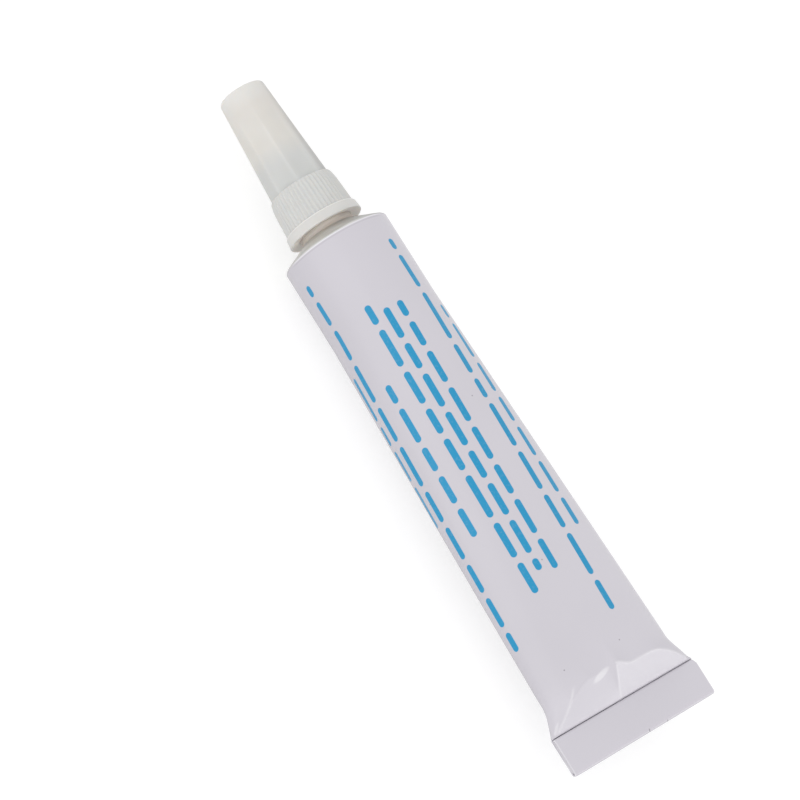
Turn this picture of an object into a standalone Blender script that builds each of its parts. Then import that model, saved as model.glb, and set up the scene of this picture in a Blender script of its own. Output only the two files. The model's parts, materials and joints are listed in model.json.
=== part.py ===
"""Squeeze tube of jewellery glue with a needle nozzle and a pull-off cap that carries a wire pin.

The tube lies along X on its back: folded tail at -X, cap at +X, folded flap on the +Z side.
Every piece is modelled about the tube's axis. Stations along it are measured from the rim,
where the straight sleeve meets the conical shoulder, and grow towards the cap.
"""

import math

import bmesh
import bpy
import numpy as np

MM = 0.001

# Clearances between pieces
SEAT_GAP = 0.3 * MM
THREAD_CLEARANCE = 0.3 * MM
PLUG_CLEARANCE = 0.25 * MM
CAP_CLEARANCE = 0.2 * MM
CAP_GAP = 0.1 * MM
NEEDLE_CLEARANCE = 0.05 * MM
WIRE_CLEARANCE = 0.1 * MM
FILL_CLEARANCE = 0.3 * MM
SEAL_CLEARANCE = 0.1 * MM

# Collapsible metal tube: sleeve, shoulder and neck
SLEEVE_RADIUS = 8.0 * MM
SLEEVE_LENGTH = 73.0 * MM
SHELL_WALL = 0.15 * MM
RIM_ROUND = 0.6 * MM
SHOULDER_SLOPE = math.radians(27)
SHOULDER_WALL = 0.8 * MM
NECK_RADIUS = 3.75 * MM
NECK_BORE = 2.5 * MM
NECK_HEIGHT = 5.81 * MM
NECK_CHAMFER = 0.3 * MM

# Tail: the sleeve flattens, closes steeply and is folded over twice
TAIL_HALF_DEPTH = 4.7 * MM
STRAIGHT_LENGTH = 12.0 * MM
CLOSING_LENGTH = 4.5 * MM
CLOSING_POWER = 1.5
CAVITY_TOE = 0.12 * MM
FLAT_SQUARENESS = 8.0
STRIP_HEIGHT = 6.0 * MM
FOLD_GAP = 0.06 * MM

# Contents of the tube
FILL_LEVEL = 2.4 * MM
SEAL_HEIGHT = 1.1 * MM

# Nozzle: fluted collar with a flange, cap spigot, cone and sealing plug
COLLAR_LIFT = 0.46 * MM
COLLAR_WALL = 1.2 * MM
COLLAR_ROOF = 1.3 * MM
COLLAR_CHAMFER = 0.25 * MM
FLANGE_HEIGHT = 2.1 * MM
FLANGE_OVERHANG = 0.4 * MM
FLANGE_ROUND = 0.6 * MM
FLANGE_BEVEL = 0.3 * MM
FLUTE_COUNT = 50
FLUTE_DEPTH = 0.16 * MM
SEAT_LEDGE = 0.12 * MM
CROWN_HEIGHT = 1.6 * MM
CROWN_DROP = 0.4 * MM
SPIGOT_HEIGHT = 2.6 * MM
SPIGOT_CHAMFER = 0.3 * MM
CONE_BASE_RADIUS = 2.2 * MM
CONE_HEIGHT = 3.0 * MM
CONE_TIP_WALL = 0.4 * MM
PLUG_LENGTH = 1.3 * MM
PLUG_WALL = 0.7 * MM
FUNNEL_DEPTH = 0.9 * MM

# Needle and the wire pin that keeps its bore open
NEEDLE_RADIUS = 0.45 * MM
NEEDLE_WALL = 0.15 * MM
NEEDLE_LEDGE = 0.25 * MM
NEEDLE_TIP_ROOM = 1.2 * MM
NEEDLE_CHAMFER = 0.08 * MM
WIRE_GRIP = 2.0 * MM
WIRE_POINT = 0.25 * MM

# Cap: round at its tip, flat-sided at its foot
CAP_LENGTH = 15.9 * MM
CAP_TIP_RADIUS = 3.47 * MM
CAP_TIP_ROUND = 0.6 * MM
CAP_TIP_WALL = 1.1 * MM
CAP_FOOT_RADIUS = 4.5 * MM
CAP_FOOT_WALL = 0.6 * MM
CAP_SOLID_TIP = 3.0 * MM
CAP_FACETS = 8
CAP_FACET_TURN = math.radians(15)

# Fineness of the meshes
SLEEVE_STEPS = 40
FILL_STEPS = 24
SLEEVE_STATIONS = 8
CLOSING_STATIONS = 8
BEND_STEPS = 5
ROUND_STEPS = 3
BORE_STEPS = 32
FACET_STEPS = 4
NEEDLE_STEPS = 16
WIRE_STEPS = 12
CURVE_STEPS = 1440

# Places and radii that follow from the sizes above
SHEET = 2 * SHELL_WALL
FOLD_PITCH = SHEET + FOLD_GAP
TAIL_START = -(SLEEVE_LENGTH - CLOSING_LENGTH)
RIM_TOP = RIM_ROUND * math.cos(SHOULDER_SLOPE)
RIM_RADIUS = SLEEVE_RADIUS - RIM_ROUND * (1 - math.sin(SHOULDER_SLOPE))
SHOULDER_HEIGHT = RIM_TOP + (RIM_RADIUS - NECK_RADIUS) * math.tan(SHOULDER_SLOPE)
NECK_TOP = SHOULDER_HEIGHT + NECK_HEIGHT
COLLAR_BOTTOM = SHOULDER_HEIGHT + COLLAR_LIFT
COLLAR_BORE = NECK_RADIUS + THREAD_CLEARANCE
COLLAR_RADIUS = COLLAR_BORE + COLLAR_WALL
FLANGE_RADIUS = COLLAR_RADIUS + FLANGE_OVERHANG
ROOF_UNDERSIDE = NECK_TOP + SEAT_GAP
CAP_SEAT = ROOF_UNDERSIDE + COLLAR_ROOF
SEAT_RADIUS = CAP_FOOT_RADIUS + SEAT_LEDGE
CAP_MOUTH = CAP_SEAT + CAP_GAP
CAP_BORE = CAP_FOOT_RADIUS * math.cos(math.pi / CAP_FACETS) - CAP_FOOT_WALL
CAP_CEILING = CAP_MOUTH + CAP_LENGTH - CAP_SOLID_TIP
SPIGOT_RADIUS = CAP_BORE - CAP_CLEARANCE
CONE_BOTTOM = CAP_SEAT + SPIGOT_HEIGHT
CONE_TOP = CONE_BOTTOM + CONE_HEIGHT
PLUG_RADIUS = NECK_BORE - PLUG_CLEARANCE
PLUG_BORE = PLUG_RADIUS - PLUG_WALL
PLUG_BOTTOM = ROOF_UNDERSIDE - PLUG_LENGTH
NEEDLE_BORE = NEEDLE_RADIUS - NEEDLE_WALL
NEEDLE_HOLE = NEEDLE_RADIUS + NEEDLE_CLEARANCE
LEDGE_BOTTOM = ROOF_UNDERSIDE + FUNNEL_DEPTH
NEEDLE_BOTTOM = LEDGE_BOTTOM + NEEDLE_LEDGE + NEEDLE_CLEARANCE
NEEDLE_TOP = CAP_CEILING - NEEDLE_TIP_ROOM
WIRE_RADIUS = NEEDLE_BORE - WIRE_CLEARANCE
WIRE_HOLE = WIRE_RADIUS + NEEDLE_CLEARANCE
TUBE_END = -(SLEEVE_LENGTH + STRIP_HEIGHT)
CAP_END = CAP_MOUTH + CAP_LENGTH


def clear_scene():
    """Remove every object, so that the scene holds only the tube."""
    for obj in list(bpy.data.objects):
        bpy.data.objects.remove(obj)


def finish_material(name, colour, roughness, metallic=0.0, alpha=1.0):
    """A plain Principled finish in the piece's own colour."""
    material = bpy.data.materials.new(name)
    material.use_nodes = True
    shader = material.node_tree.nodes["Principled BSDF"]
    shader.inputs["Base Color"].default_value = (*colour, 1.0)
    shader.inputs["Roughness"].default_value = roughness
    shader.inputs["Metallic"].default_value = metallic
    shader.inputs["Alpha"].default_value = alpha
    material.diffuse_color = (*colour, alpha)
    return material


def place(name, shape, material, assembly, station=0.0):
    """Turn a bmesh into a named piece on the tube's axis, its origin at the given station."""
    bmesh.ops.recalc_face_normals(shape, faces=shape.faces)
    mesh = bpy.data.meshes.new(name)
    shape.to_mesh(mesh)
    shape.free()
    mesh.materials.append(material)
    mesh.shade_smooth()
    mesh.set_sharp_from_angle(angle=math.radians(35))
    piece = bpy.data.objects.new(name, mesh)
    bpy.context.scene.collection.objects.link(piece)
    piece.parent = assembly
    piece.location.x = station
    return piece


def skin(rings):
    """One closed body lofted through rings of equally many points, with both ends filled."""
    shape = bmesh.new()
    loops = [[shape.verts.new(point) for point in ring] for ring in rings]
    for first, second in zip(loops, loops[1:]):
        for i in range(len(first)):
            shape.faces.new((first[i - 1], first[i], second[i], second[i - 1]))
    for loop in (loops[0], loops[-1]):
        bmesh.ops.contextual_create(shape, geom=loop)
    return shape


def spin_profile(shape, profile, steps, closed):
    """Turn a profile of (station, radius) points about the axis."""
    verts = [shape.verts.new((station, 0.0, radius)) for station, radius in profile]
    edges = [shape.edges.new(pair) for pair in zip(verts, verts[1:])]
    if closed:
        edges.append(shape.edges.new((verts[-1], verts[0])))
    bmesh.ops.spin(
        shape,
        geom=verts + edges,
        cent=(0.0, 0.0, 0.0),
        axis=(1.0, 0.0, 0.0),
        angle=2 * math.pi,
        steps=steps,
        use_merge=True,
    )


def round_ring(station, radius, count):
    """A regular ring about the axis whose flats, not its corners, face the four sides."""
    outer = radius / math.cos(math.pi / count)
    turns = [(i + 0.5) * 2 * math.pi / count for i in range(count)]
    return [(station, outer * math.cos(turn), outer * math.sin(turn)) for turn in turns]


def arc(centre, radius, start, end, steps):
    """Points (station, radius) on an arc, from one angle to another in degrees."""
    turns = [math.radians(start + (end - start) * i / steps) for i in range(steps + 1)]
    return [(centre[0] + radius * math.cos(t), centre[1] + radius * math.sin(t)) for t in turns]


def squareness_at(half_depth):
    """How boxy the sleeve's section is: an ellipse when full, a flat bar when pressed shut."""
    closed = 1.0 - min(1.0, half_depth / TAIL_HALF_DEPTH)
    return 2.0 + (FLAT_SQUARENESS - 2.0) * closed**3


def section_curve(half_width, half_depth, power):
    """Dense points (y, z) round a superellipse, the first one repeated at the end."""
    turns = np.linspace(0.0, 2 * math.pi, CURVE_STEPS + 1)
    across, up = np.cos(turns), np.sin(turns)
    y = half_width * np.sign(across) * np.abs(across) ** (2 / power)
    z = half_depth * np.sign(up) * np.abs(up) ** (2 / power)
    return y, z


def girth(y, z):
    """Running length round a curve of points."""
    return np.concatenate([[0.0], np.cumsum(np.hypot(np.diff(y), np.diff(z)))])


def half_width_for(half_depth):
    """Half width that keeps the sleeve's girth, since the metal doesn't stretch."""
    power = squareness_at(half_depth)
    low, high = SLEEVE_RADIUS * 0.5, SLEEVE_RADIUS * math.pi / 2
    for _ in range(40):
        middle = (low + high) / 2
        length = girth(*section_curve(middle, half_depth, power))[-1]
        if length < 2 * math.pi * SLEEVE_RADIUS:
            low = middle
        else:
            high = middle
    return (low + high) / 2


def section_points(half_depth, inset, count):
    """Points (y, z) spaced evenly round the sleeve's section, drawn in by an inset."""
    wide, deep = half_width_for(half_depth) - inset, half_depth - inset
    y, z = section_curve(wide, deep, squareness_at(half_depth))
    run = girth(y, z)
    marks = (np.arange(count) + 0.5) * run[-1] / count
    y, z = np.interp(marks, run, y), np.interp(marks, run, z)
    return list(zip(y * wide / abs(y).max(), z * deep / abs(z).max()))


def sleeve_half_depth(station):
    """Half the sleeve's depth: round at first, then flattening evenly, and shut steeply at the tail."""
    if station >= -STRAIGHT_LENGTH:
        return SLEEVE_RADIUS
    if station >= TAIL_START:
        share = (station + STRAIGHT_LENGTH) / (TAIL_START + STRAIGHT_LENGTH)
        return SLEEVE_RADIUS - (SLEEVE_RADIUS - TAIL_HALF_DEPTH) * share
    share = ((TAIL_START - station) / CLOSING_LENGTH) ** CLOSING_POWER
    return SHEET / 2 + (TAIL_HALF_DEPTH - SHEET / 2) * (1.0 - share)


def sleeve_ring(station, inset, count):
    """A ring of the sleeve at a station, drawn in from its outer face."""
    points = section_points(sleeve_half_depth(station), inset, count)
    return [(station, y, z) for y, z in points]


def cavity_end():
    """Station where the closing walls leave only a thin toe of the cavity."""
    shut = 1.0 - CAVITY_TOE / (TAIL_HALF_DEPTH - SHEET / 2)
    return TAIL_START - CLOSING_LENGTH * shut ** (1 / CLOSING_POWER)


def sleeve_stations(start, end):
    """Stations down the sleeve from just below the rim, closer together where the tail shuts."""
    taper = TAIL_START + STRAIGHT_LENGTH
    body = [taper * i / SLEEVE_STATIONS - STRAIGHT_LENGTH for i in range(SLEEVE_STATIONS)]
    tail = [TAIL_START + (end - TAIL_START) * i / CLOSING_STATIONS for i in range(CLOSING_STATIONS + 1)]
    return [start] + body + tail


def bend(centre, radius, start, end):
    """Centre points and headings of the folded sheet round one bend, in the XZ plane."""
    headings = [start + (end - start) * i / BEND_STEPS for i in range(BEND_STEPS + 1)]
    return [
        (
            centre[0] - radius * math.sin(math.radians(heading)),
            centre[1] - radius * math.cos(math.radians(heading)),
            math.radians(heading),
        )
        for heading in headings
    ]


def fold_rings():
    """Rings of the doubled sheet: down the back, up the front flap and down again inside it."""
    bottom = TUBE_END + FOLD_PITCH + SHEET / 2
    top = -SLEEVE_LENGTH - FOLD_PITCH / 2 - SHEET / 2
    raw_edge = bottom + FOLD_GAP
    path = bend((bottom, FOLD_PITCH), FOLD_PITCH, 0, 180)
    path += bend((top, FOLD_PITCH * 1.5), FOLD_PITCH / 2, 180, 360)
    path.append((raw_edge, FOLD_PITCH, 2 * math.pi))
    section = section_points(SHEET / 2, 0.0, SLEEVE_STEPS)
    return [
        [(x + d * math.sin(turn), y, z + d * math.cos(turn)) for y, d in section]
        for x, z, turn in path
    ]


def inner_shoulder(radius, wall, inset):
    """Station of the shoulder's inner face at a radius, and of its corner with the sleeve."""
    under = RIM_TOP - wall / math.cos(SHOULDER_SLOPE)
    stations = [under + (RIM_RADIUS - r) * math.tan(SHOULDER_SLOPE) for r in (radius, SLEEVE_RADIUS - inset)]
    return stations[0], stations[1]


def build_shell(assembly):
    """Sleeve, shoulder, neck and folded tail: one piece of thin metal, open only at its neck."""
    inner_neck, inner_rim = inner_shoulder(NECK_BORE, SHOULDER_WALL, SHELL_WALL)
    slope = math.degrees(SHOULDER_SLOPE)
    turned = [
        (inner_neck, NECK_BORE),
        (NECK_TOP - NECK_CHAMFER / 2, NECK_BORE),
        (NECK_TOP, NECK_BORE + NECK_CHAMFER / 2),
        (NECK_TOP, NECK_RADIUS - NECK_CHAMFER),
        (NECK_TOP - NECK_CHAMFER, NECK_RADIUS),
        (SHOULDER_HEIGHT, NECK_RADIUS),
    ]
    turned += arc((0.0, SLEEVE_RADIUS - RIM_ROUND), RIM_ROUND, slope, 90, ROUND_STEPS)[:-1]
    inner = [sleeve_ring(x, SHELL_WALL, SLEEVE_STEPS) for x in sleeve_stations(inner_rim, cavity_end())]
    outer = [sleeve_ring(x, 0.0, SLEEVE_STEPS) for x in sleeve_stations(0.0, -SLEEVE_LENGTH)]
    middle = [round_ring(x, r, SLEEVE_STEPS) for x, r in turned]
    white = finish_material("white_enamel", (0.62, 0.60, 0.66), 0.4)
    place("tube_shell", skin(inner[::-1] + middle + outer + fold_rings()), white, assembly)


def build_adhesive(assembly):
    """Glue lying in the tube, level across the top, with a column standing in the neck."""
    inset = SHELL_WALL + FILL_CLEARANCE
    column = NECK_BORE - FILL_CLEARANCE
    shoulder, start = inner_shoulder(column, SHOULDER_WALL + FILL_CLEARANCE, inset)
    tail = cavity_end() + SEAL_HEIGHT + 2 * FILL_CLEARANCE
    rings = [sleeve_ring(x, inset, FILL_STEPS) for x in sleeve_stations(start, tail)]
    rings.insert(0, round_ring(shoulder, column, FILL_STEPS))
    rings.insert(0, round_ring(PLUG_BOTTOM - FILL_CLEARANCE, column, FILL_STEPS))
    shape = skin(rings)
    everything = list(shape.verts) + list(shape.edges) + list(shape.faces)
    cut = bmesh.ops.bisect_plane(
        shape, geom=everything, plane_co=(0.0, 0.0, FILL_LEVEL), plane_no=(0.0, 0.0, 1.0), clear_outer=True
    )
    rim = [item for item in cut["geom_cut"] if isinstance(item, bmesh.types.BMEdge)]
    bmesh.ops.edgeloop_fill(shape, edges=rim)
    glue = finish_material("clear_adhesive", (0.85, 0.80, 0.62), 0.15, alpha=0.6)
    place("adhesive_fill", shape, glue, assembly)


def build_tail_seal(assembly):
    """Bead of dried latex along the toe of the cavity, which seals the fold from inside."""
    toe = cavity_end() + FILL_CLEARANCE
    stations = [toe + SEAL_HEIGHT * i / 2 for i in range(3)]
    rings = [sleeve_ring(x, SHELL_WALL + SEAL_CLEARANCE, SLEEVE_STEPS) for x in stations]
    latex = finish_material("latex", (0.78, 0.74, 0.62), 0.7)
    place("tail_seal", skin(rings), latex, assembly)


def collar_outside():
    """Profile (station, radius) of the collar's outer face up to the cap's seat, and its fluted part."""
    flute_foot = FLANGE_HEIGHT + FLANGE_BEVEL / 2
    top = CAP_SEAT - COLLAR_BOTTOM
    corner = (FLANGE_ROUND, FLANGE_RADIUS - FLANGE_ROUND)
    flange = arc(corner, FLANGE_ROUND, 180, 90, ROUND_STEPS)
    flange.append((FLANGE_HEIGHT - FLANGE_BEVEL, FLANGE_RADIUS - FLANGE_BEVEL / 6))
    flange.append((FLANGE_HEIGHT, FLANGE_RADIUS - FLANGE_BEVEL))
    flutes = [(flute_foot, COLLAR_RADIUS)]
    for share in (1.0, 0.6, 0.25):
        flutes.append((top - CROWN_HEIGHT * share, SEAT_RADIUS + CROWN_DROP * math.sqrt(share)))
    return flange + flutes + [(top, SEAT_RADIUS)], flutes


def collar_inside():
    """Profile of the rest of the nozzle: cap seat, spigot, cone, needle hole, plug and bore."""
    profile = [
        (CAP_SEAT, SPIGOT_RADIUS),
        (CONE_BOTTOM - SPIGOT_CHAMFER, SPIGOT_RADIUS),
        (CONE_BOTTOM, SPIGOT_RADIUS - SPIGOT_CHAMFER),
        (CONE_BOTTOM, CONE_BASE_RADIUS),
        (CONE_TOP, NEEDLE_HOLE + CONE_TIP_WALL),
        (CONE_TOP, NEEDLE_HOLE),
        (LEDGE_BOTTOM + NEEDLE_LEDGE, NEEDLE_HOLE),
        (LEDGE_BOTTOM + NEEDLE_LEDGE, NEEDLE_BORE),
        (LEDGE_BOTTOM, NEEDLE_BORE),
        (ROOF_UNDERSIDE, PLUG_BORE),
        (PLUG_BOTTOM, PLUG_BORE),
        (PLUG_BOTTOM, PLUG_RADIUS),
        (ROOF_UNDERSIDE, PLUG_RADIUS),
        (ROOF_UNDERSIDE, COLLAR_BORE),
        (COLLAR_BOTTOM + COLLAR_CHAMFER, COLLAR_BORE),
        (COLLAR_BOTTOM, COLLAR_BORE + COLLAR_CHAMFER),
    ]
    return [(station - COLLAR_BOTTOM, radius) for station, radius in profile]


def rim_edges(shape, station, radius):
    """The open edges of a turned skin on the circle at a station and radius."""

    def on_circle(vert):
        return math.hypot(vert.co.x - station, math.hypot(vert.co.y, vert.co.z) - radius) < 0.001 * MM

    return [edge for edge in shape.edges if edge.is_boundary and all(map(on_circle, edge.verts))]


def cut_flutes(shape, flutes):
    """Draw every second row of the fluted band inwards."""
    steps = 2 * FLUTE_COUNT
    stations = [station for station, _ in flutes]
    for vert in shape.verts:
        row = round(math.atan2(vert.co.y, vert.co.z) / (2 * math.pi) * steps)
        if row % 2 and min(abs(vert.co.x - station) for station in stations) < 0.001 * MM:
            radius = math.hypot(vert.co.y, vert.co.z)
            vert.co.yz = vert.co.yz * (radius - FLUTE_DEPTH) / radius


def build_collar(assembly):
    """Nozzle moulding that screws on the neck: fluted grip outside, needle seat and plug inside."""
    shape = bmesh.new()
    outside, flutes = collar_outside()
    spin_profile(shape, outside, 2 * FLUTE_COUNT, closed=False)
    cut_flutes(shape, flutes)
    inside = collar_inside()
    spin_profile(shape, inside, BORE_STEPS, closed=False)
    for first, second in ((outside[0], inside[-1]), (outside[-1], inside[0])):
        edges = rim_edges(shape, *first) + rim_edges(shape, *second)
        bmesh.ops.bridge_loops(shape, edges=edges)
    plastic = finish_material("white_plastic", (0.66, 0.66, 0.64), 0.45)
    place("nozzle_collar", shape, plastic, assembly, COLLAR_BOTTOM)


def build_needle(assembly):
    """Blunt steel cannula standing in the nozzle's cone."""
    length = NEEDLE_TOP - NEEDLE_BOTTOM
    profile = [
        (0.0, NEEDLE_BORE),
        (0.0, NEEDLE_RADIUS),
        (length - NEEDLE_CHAMFER, NEEDLE_RADIUS),
        (length, NEEDLE_RADIUS - NEEDLE_CHAMFER),
        (length, NEEDLE_BORE),
    ]
    shape = bmesh.new()
    spin_profile(shape, profile, NEEDLE_STEPS, closed=True)
    steel = finish_material("needle_steel", (0.62, 0.63, 0.65), 0.25, metallic=1.0)
    place("needle", shape, steel, assembly, NEEDLE_BOTTOM)


def cap_ring(station, radius, flatness):
    """A ring of the cap that goes from round, at flatness 0, to flat-sided at 1."""
    facet = 2 * math.pi / CAP_FACETS
    points = []
    for i in range(CAP_FACETS * FACET_STEPS):
        along = (i % FACET_STEPS) / FACET_STEPS * facet - facet / 2
        flat = radius * math.cos(facet / 2) / math.cos(along)
        reach = radius + (flat - radius) * flatness
        turn = i * facet / FACET_STEPS + CAP_FACET_TURN
        points.append((station, reach * math.cos(turn), reach * math.sin(turn)))
    return points


def build_cap(assembly):
    """Tapered cap: hollow over the needle, solid at its tip, where it grips the wire."""
    shank = CAP_LENGTH - CAP_TIP_ROUND
    count = CAP_FACETS * FACET_STEPS
    tip = arc((shank, CAP_TIP_RADIUS - CAP_TIP_ROUND), CAP_TIP_ROUND, 0, 90, ROUND_STEPS)
    rings = [round_ring(station, radius, count) for station, radius in tip[:-1]]
    for i in range(ROUND_STEPS + 1):
        share = i / ROUND_STEPS
        radius = CAP_TIP_RADIUS + (CAP_FOOT_RADIUS - CAP_TIP_RADIUS) * share
        rings.append(cap_ring(shank * (1 - share), radius, share))
    ceiling = CAP_CEILING - CAP_MOUTH
    hollow = [
        (0.0, CAP_BORE),
        (SPIGOT_HEIGHT, CAP_BORE),
        (ceiling, CAP_TIP_RADIUS - CAP_TIP_WALL),
        (ceiling, WIRE_HOLE),
        (ceiling + WIRE_GRIP + NEEDLE_CLEARANCE, WIRE_HOLE),
    ]
    turn = CAP_FACET_TURN
    for station, radius in hollow:
        steps = [turn + i * 2 * math.pi / count for i in range(count)]
        rings.append([(station, radius * math.cos(t), radius * math.sin(t)) for t in steps])
    milky = finish_material("translucent_cap", (0.70, 0.68, 0.63), 0.35, alpha=0.9)
    place("cap", skin(rings), milky, assembly, CAP_MOUTH)


def build_cap_wire(assembly):
    """Wire pin that hangs from the cap's tip and runs down the needle's bore."""
    length = CAP_CEILING + WIRE_GRIP - NEEDLE_BOTTOM
    profile = [(0.0, WIRE_RADIUS / 2), (WIRE_POINT, WIRE_RADIUS), (length, WIRE_RADIUS)]
    rings = [round_ring(station, radius, WIRE_STEPS) for station, radius in profile]
    steel = finish_material("wire_steel", (0.55, 0.55, 0.56), 0.3, metallic=1.0)
    place("cap_wire", skin(rings), steel, assembly, NEEDLE_BOTTOM)


def main():
    clear_scene()
    assembly = bpy.data.objects.new("glue_tube", None)
    bpy.context.scene.collection.objects.link(assembly)
    assembly.location = (-(TUBE_END + CAP_END) / 2, 0.0, SLEEVE_RADIUS)
    build_shell(assembly)
    build_adhesive(assembly)
    build_tail_seal(assembly)
    build_collar(assembly)
    build_needle(assembly)
    build_cap(assembly)
    build_cap_wire(assembly)


main()
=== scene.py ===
"""Squeeze tube of jewellery glue on a pale studio floor.

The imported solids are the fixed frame. Every piece is modelled again on the same axis in finer detail:
stations run along +X from the rim, where the sleeve meets the shoulder, and grow towards the cap.
"""

import abc
import enum
import json
import logging
import math
from collections.abc import Callable, Sequence
from dataclasses import dataclass, replace
from functools import reduce
from typing import ClassVar, Union

import bmesh
import bpy
import numpy as np
from mathutils import Matrix, Vector

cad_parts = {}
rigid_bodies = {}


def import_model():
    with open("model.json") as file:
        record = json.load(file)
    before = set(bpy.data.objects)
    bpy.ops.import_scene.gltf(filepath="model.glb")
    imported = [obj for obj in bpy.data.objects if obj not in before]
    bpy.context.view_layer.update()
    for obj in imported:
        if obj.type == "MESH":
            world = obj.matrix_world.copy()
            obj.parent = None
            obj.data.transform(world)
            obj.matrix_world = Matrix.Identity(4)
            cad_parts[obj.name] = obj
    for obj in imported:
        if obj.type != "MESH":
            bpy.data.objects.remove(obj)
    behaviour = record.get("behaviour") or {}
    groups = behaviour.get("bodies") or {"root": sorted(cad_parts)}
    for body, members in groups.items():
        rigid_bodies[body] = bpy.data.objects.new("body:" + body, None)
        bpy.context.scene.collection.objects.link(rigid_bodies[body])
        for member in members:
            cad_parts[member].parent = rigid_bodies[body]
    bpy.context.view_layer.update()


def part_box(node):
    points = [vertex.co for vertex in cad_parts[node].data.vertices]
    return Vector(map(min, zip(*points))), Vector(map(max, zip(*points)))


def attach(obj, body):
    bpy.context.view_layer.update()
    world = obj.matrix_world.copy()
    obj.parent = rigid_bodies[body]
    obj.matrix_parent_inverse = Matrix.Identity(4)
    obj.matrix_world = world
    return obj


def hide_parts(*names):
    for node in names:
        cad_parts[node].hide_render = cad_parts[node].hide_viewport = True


MM = 0.001
SURFACE_MAP = "surface"
HIGHLIGHT_MAP = "painted_highlight"
AXIS_HEIGHT = 8.0 * MM
NOISE_LOW, NOISE_HIGH = 0.3, 0.7
POLE_REACH = 1e-7
SEAM_REACH = 1e-8
NOT_ZERO = 1e-12
LOG = logging.getLogger("glue_tube")

Array = np.ndarray
Colour = tuple[float, float, float]
Tones = tuple[tuple[float, Colour], ...]
Point = tuple[float, float]
Profile = list[Point]
Shape = bmesh.types.BMesh
Node = bpy.types.Node
Socket = bpy.types.NodeSocket
Source = Union[Socket, float, Sequence[float]]
Feeds = dict[Union[str, int], Source]


class Body(enum.Enum):
    """Bodies of the frame that a piece can ride on."""

    TUBE = "tube"
    NEEDLE = "needle"
    COLLAR = "collar"
    CAP = "cap"


class Slot(enum.Enum):
    """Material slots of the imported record."""

    ENAMEL = "white_enamel"
    GLUE = "adhesive"
    LATEX = "latex"
    WHITE_PLASTIC = "white_plastic"
    NEEDLE_STEEL = "needle_steel"
    MILKY_PLASTIC = "milky_plastic"
    WIRE_STEEL = "wire_steel"


class Coat(enum.IntEnum):
    """Which of the tube's finishes a part of its skin has."""

    ENAMEL = 0
    BARE = 1
    NECK = 2


class Zone(enum.IntEnum):
    """Which of the nozzle's finishes a part of its skin has."""

    BODY = 0
    UNDERSIDE = 1
    EDGE = 2


class Kind(enum.Enum):
    """Socket kinds of a shader group."""

    VALUE = "NodeSocketFloat"
    VECTOR = "NodeSocketVector"


# Shader benches and shared effects


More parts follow.
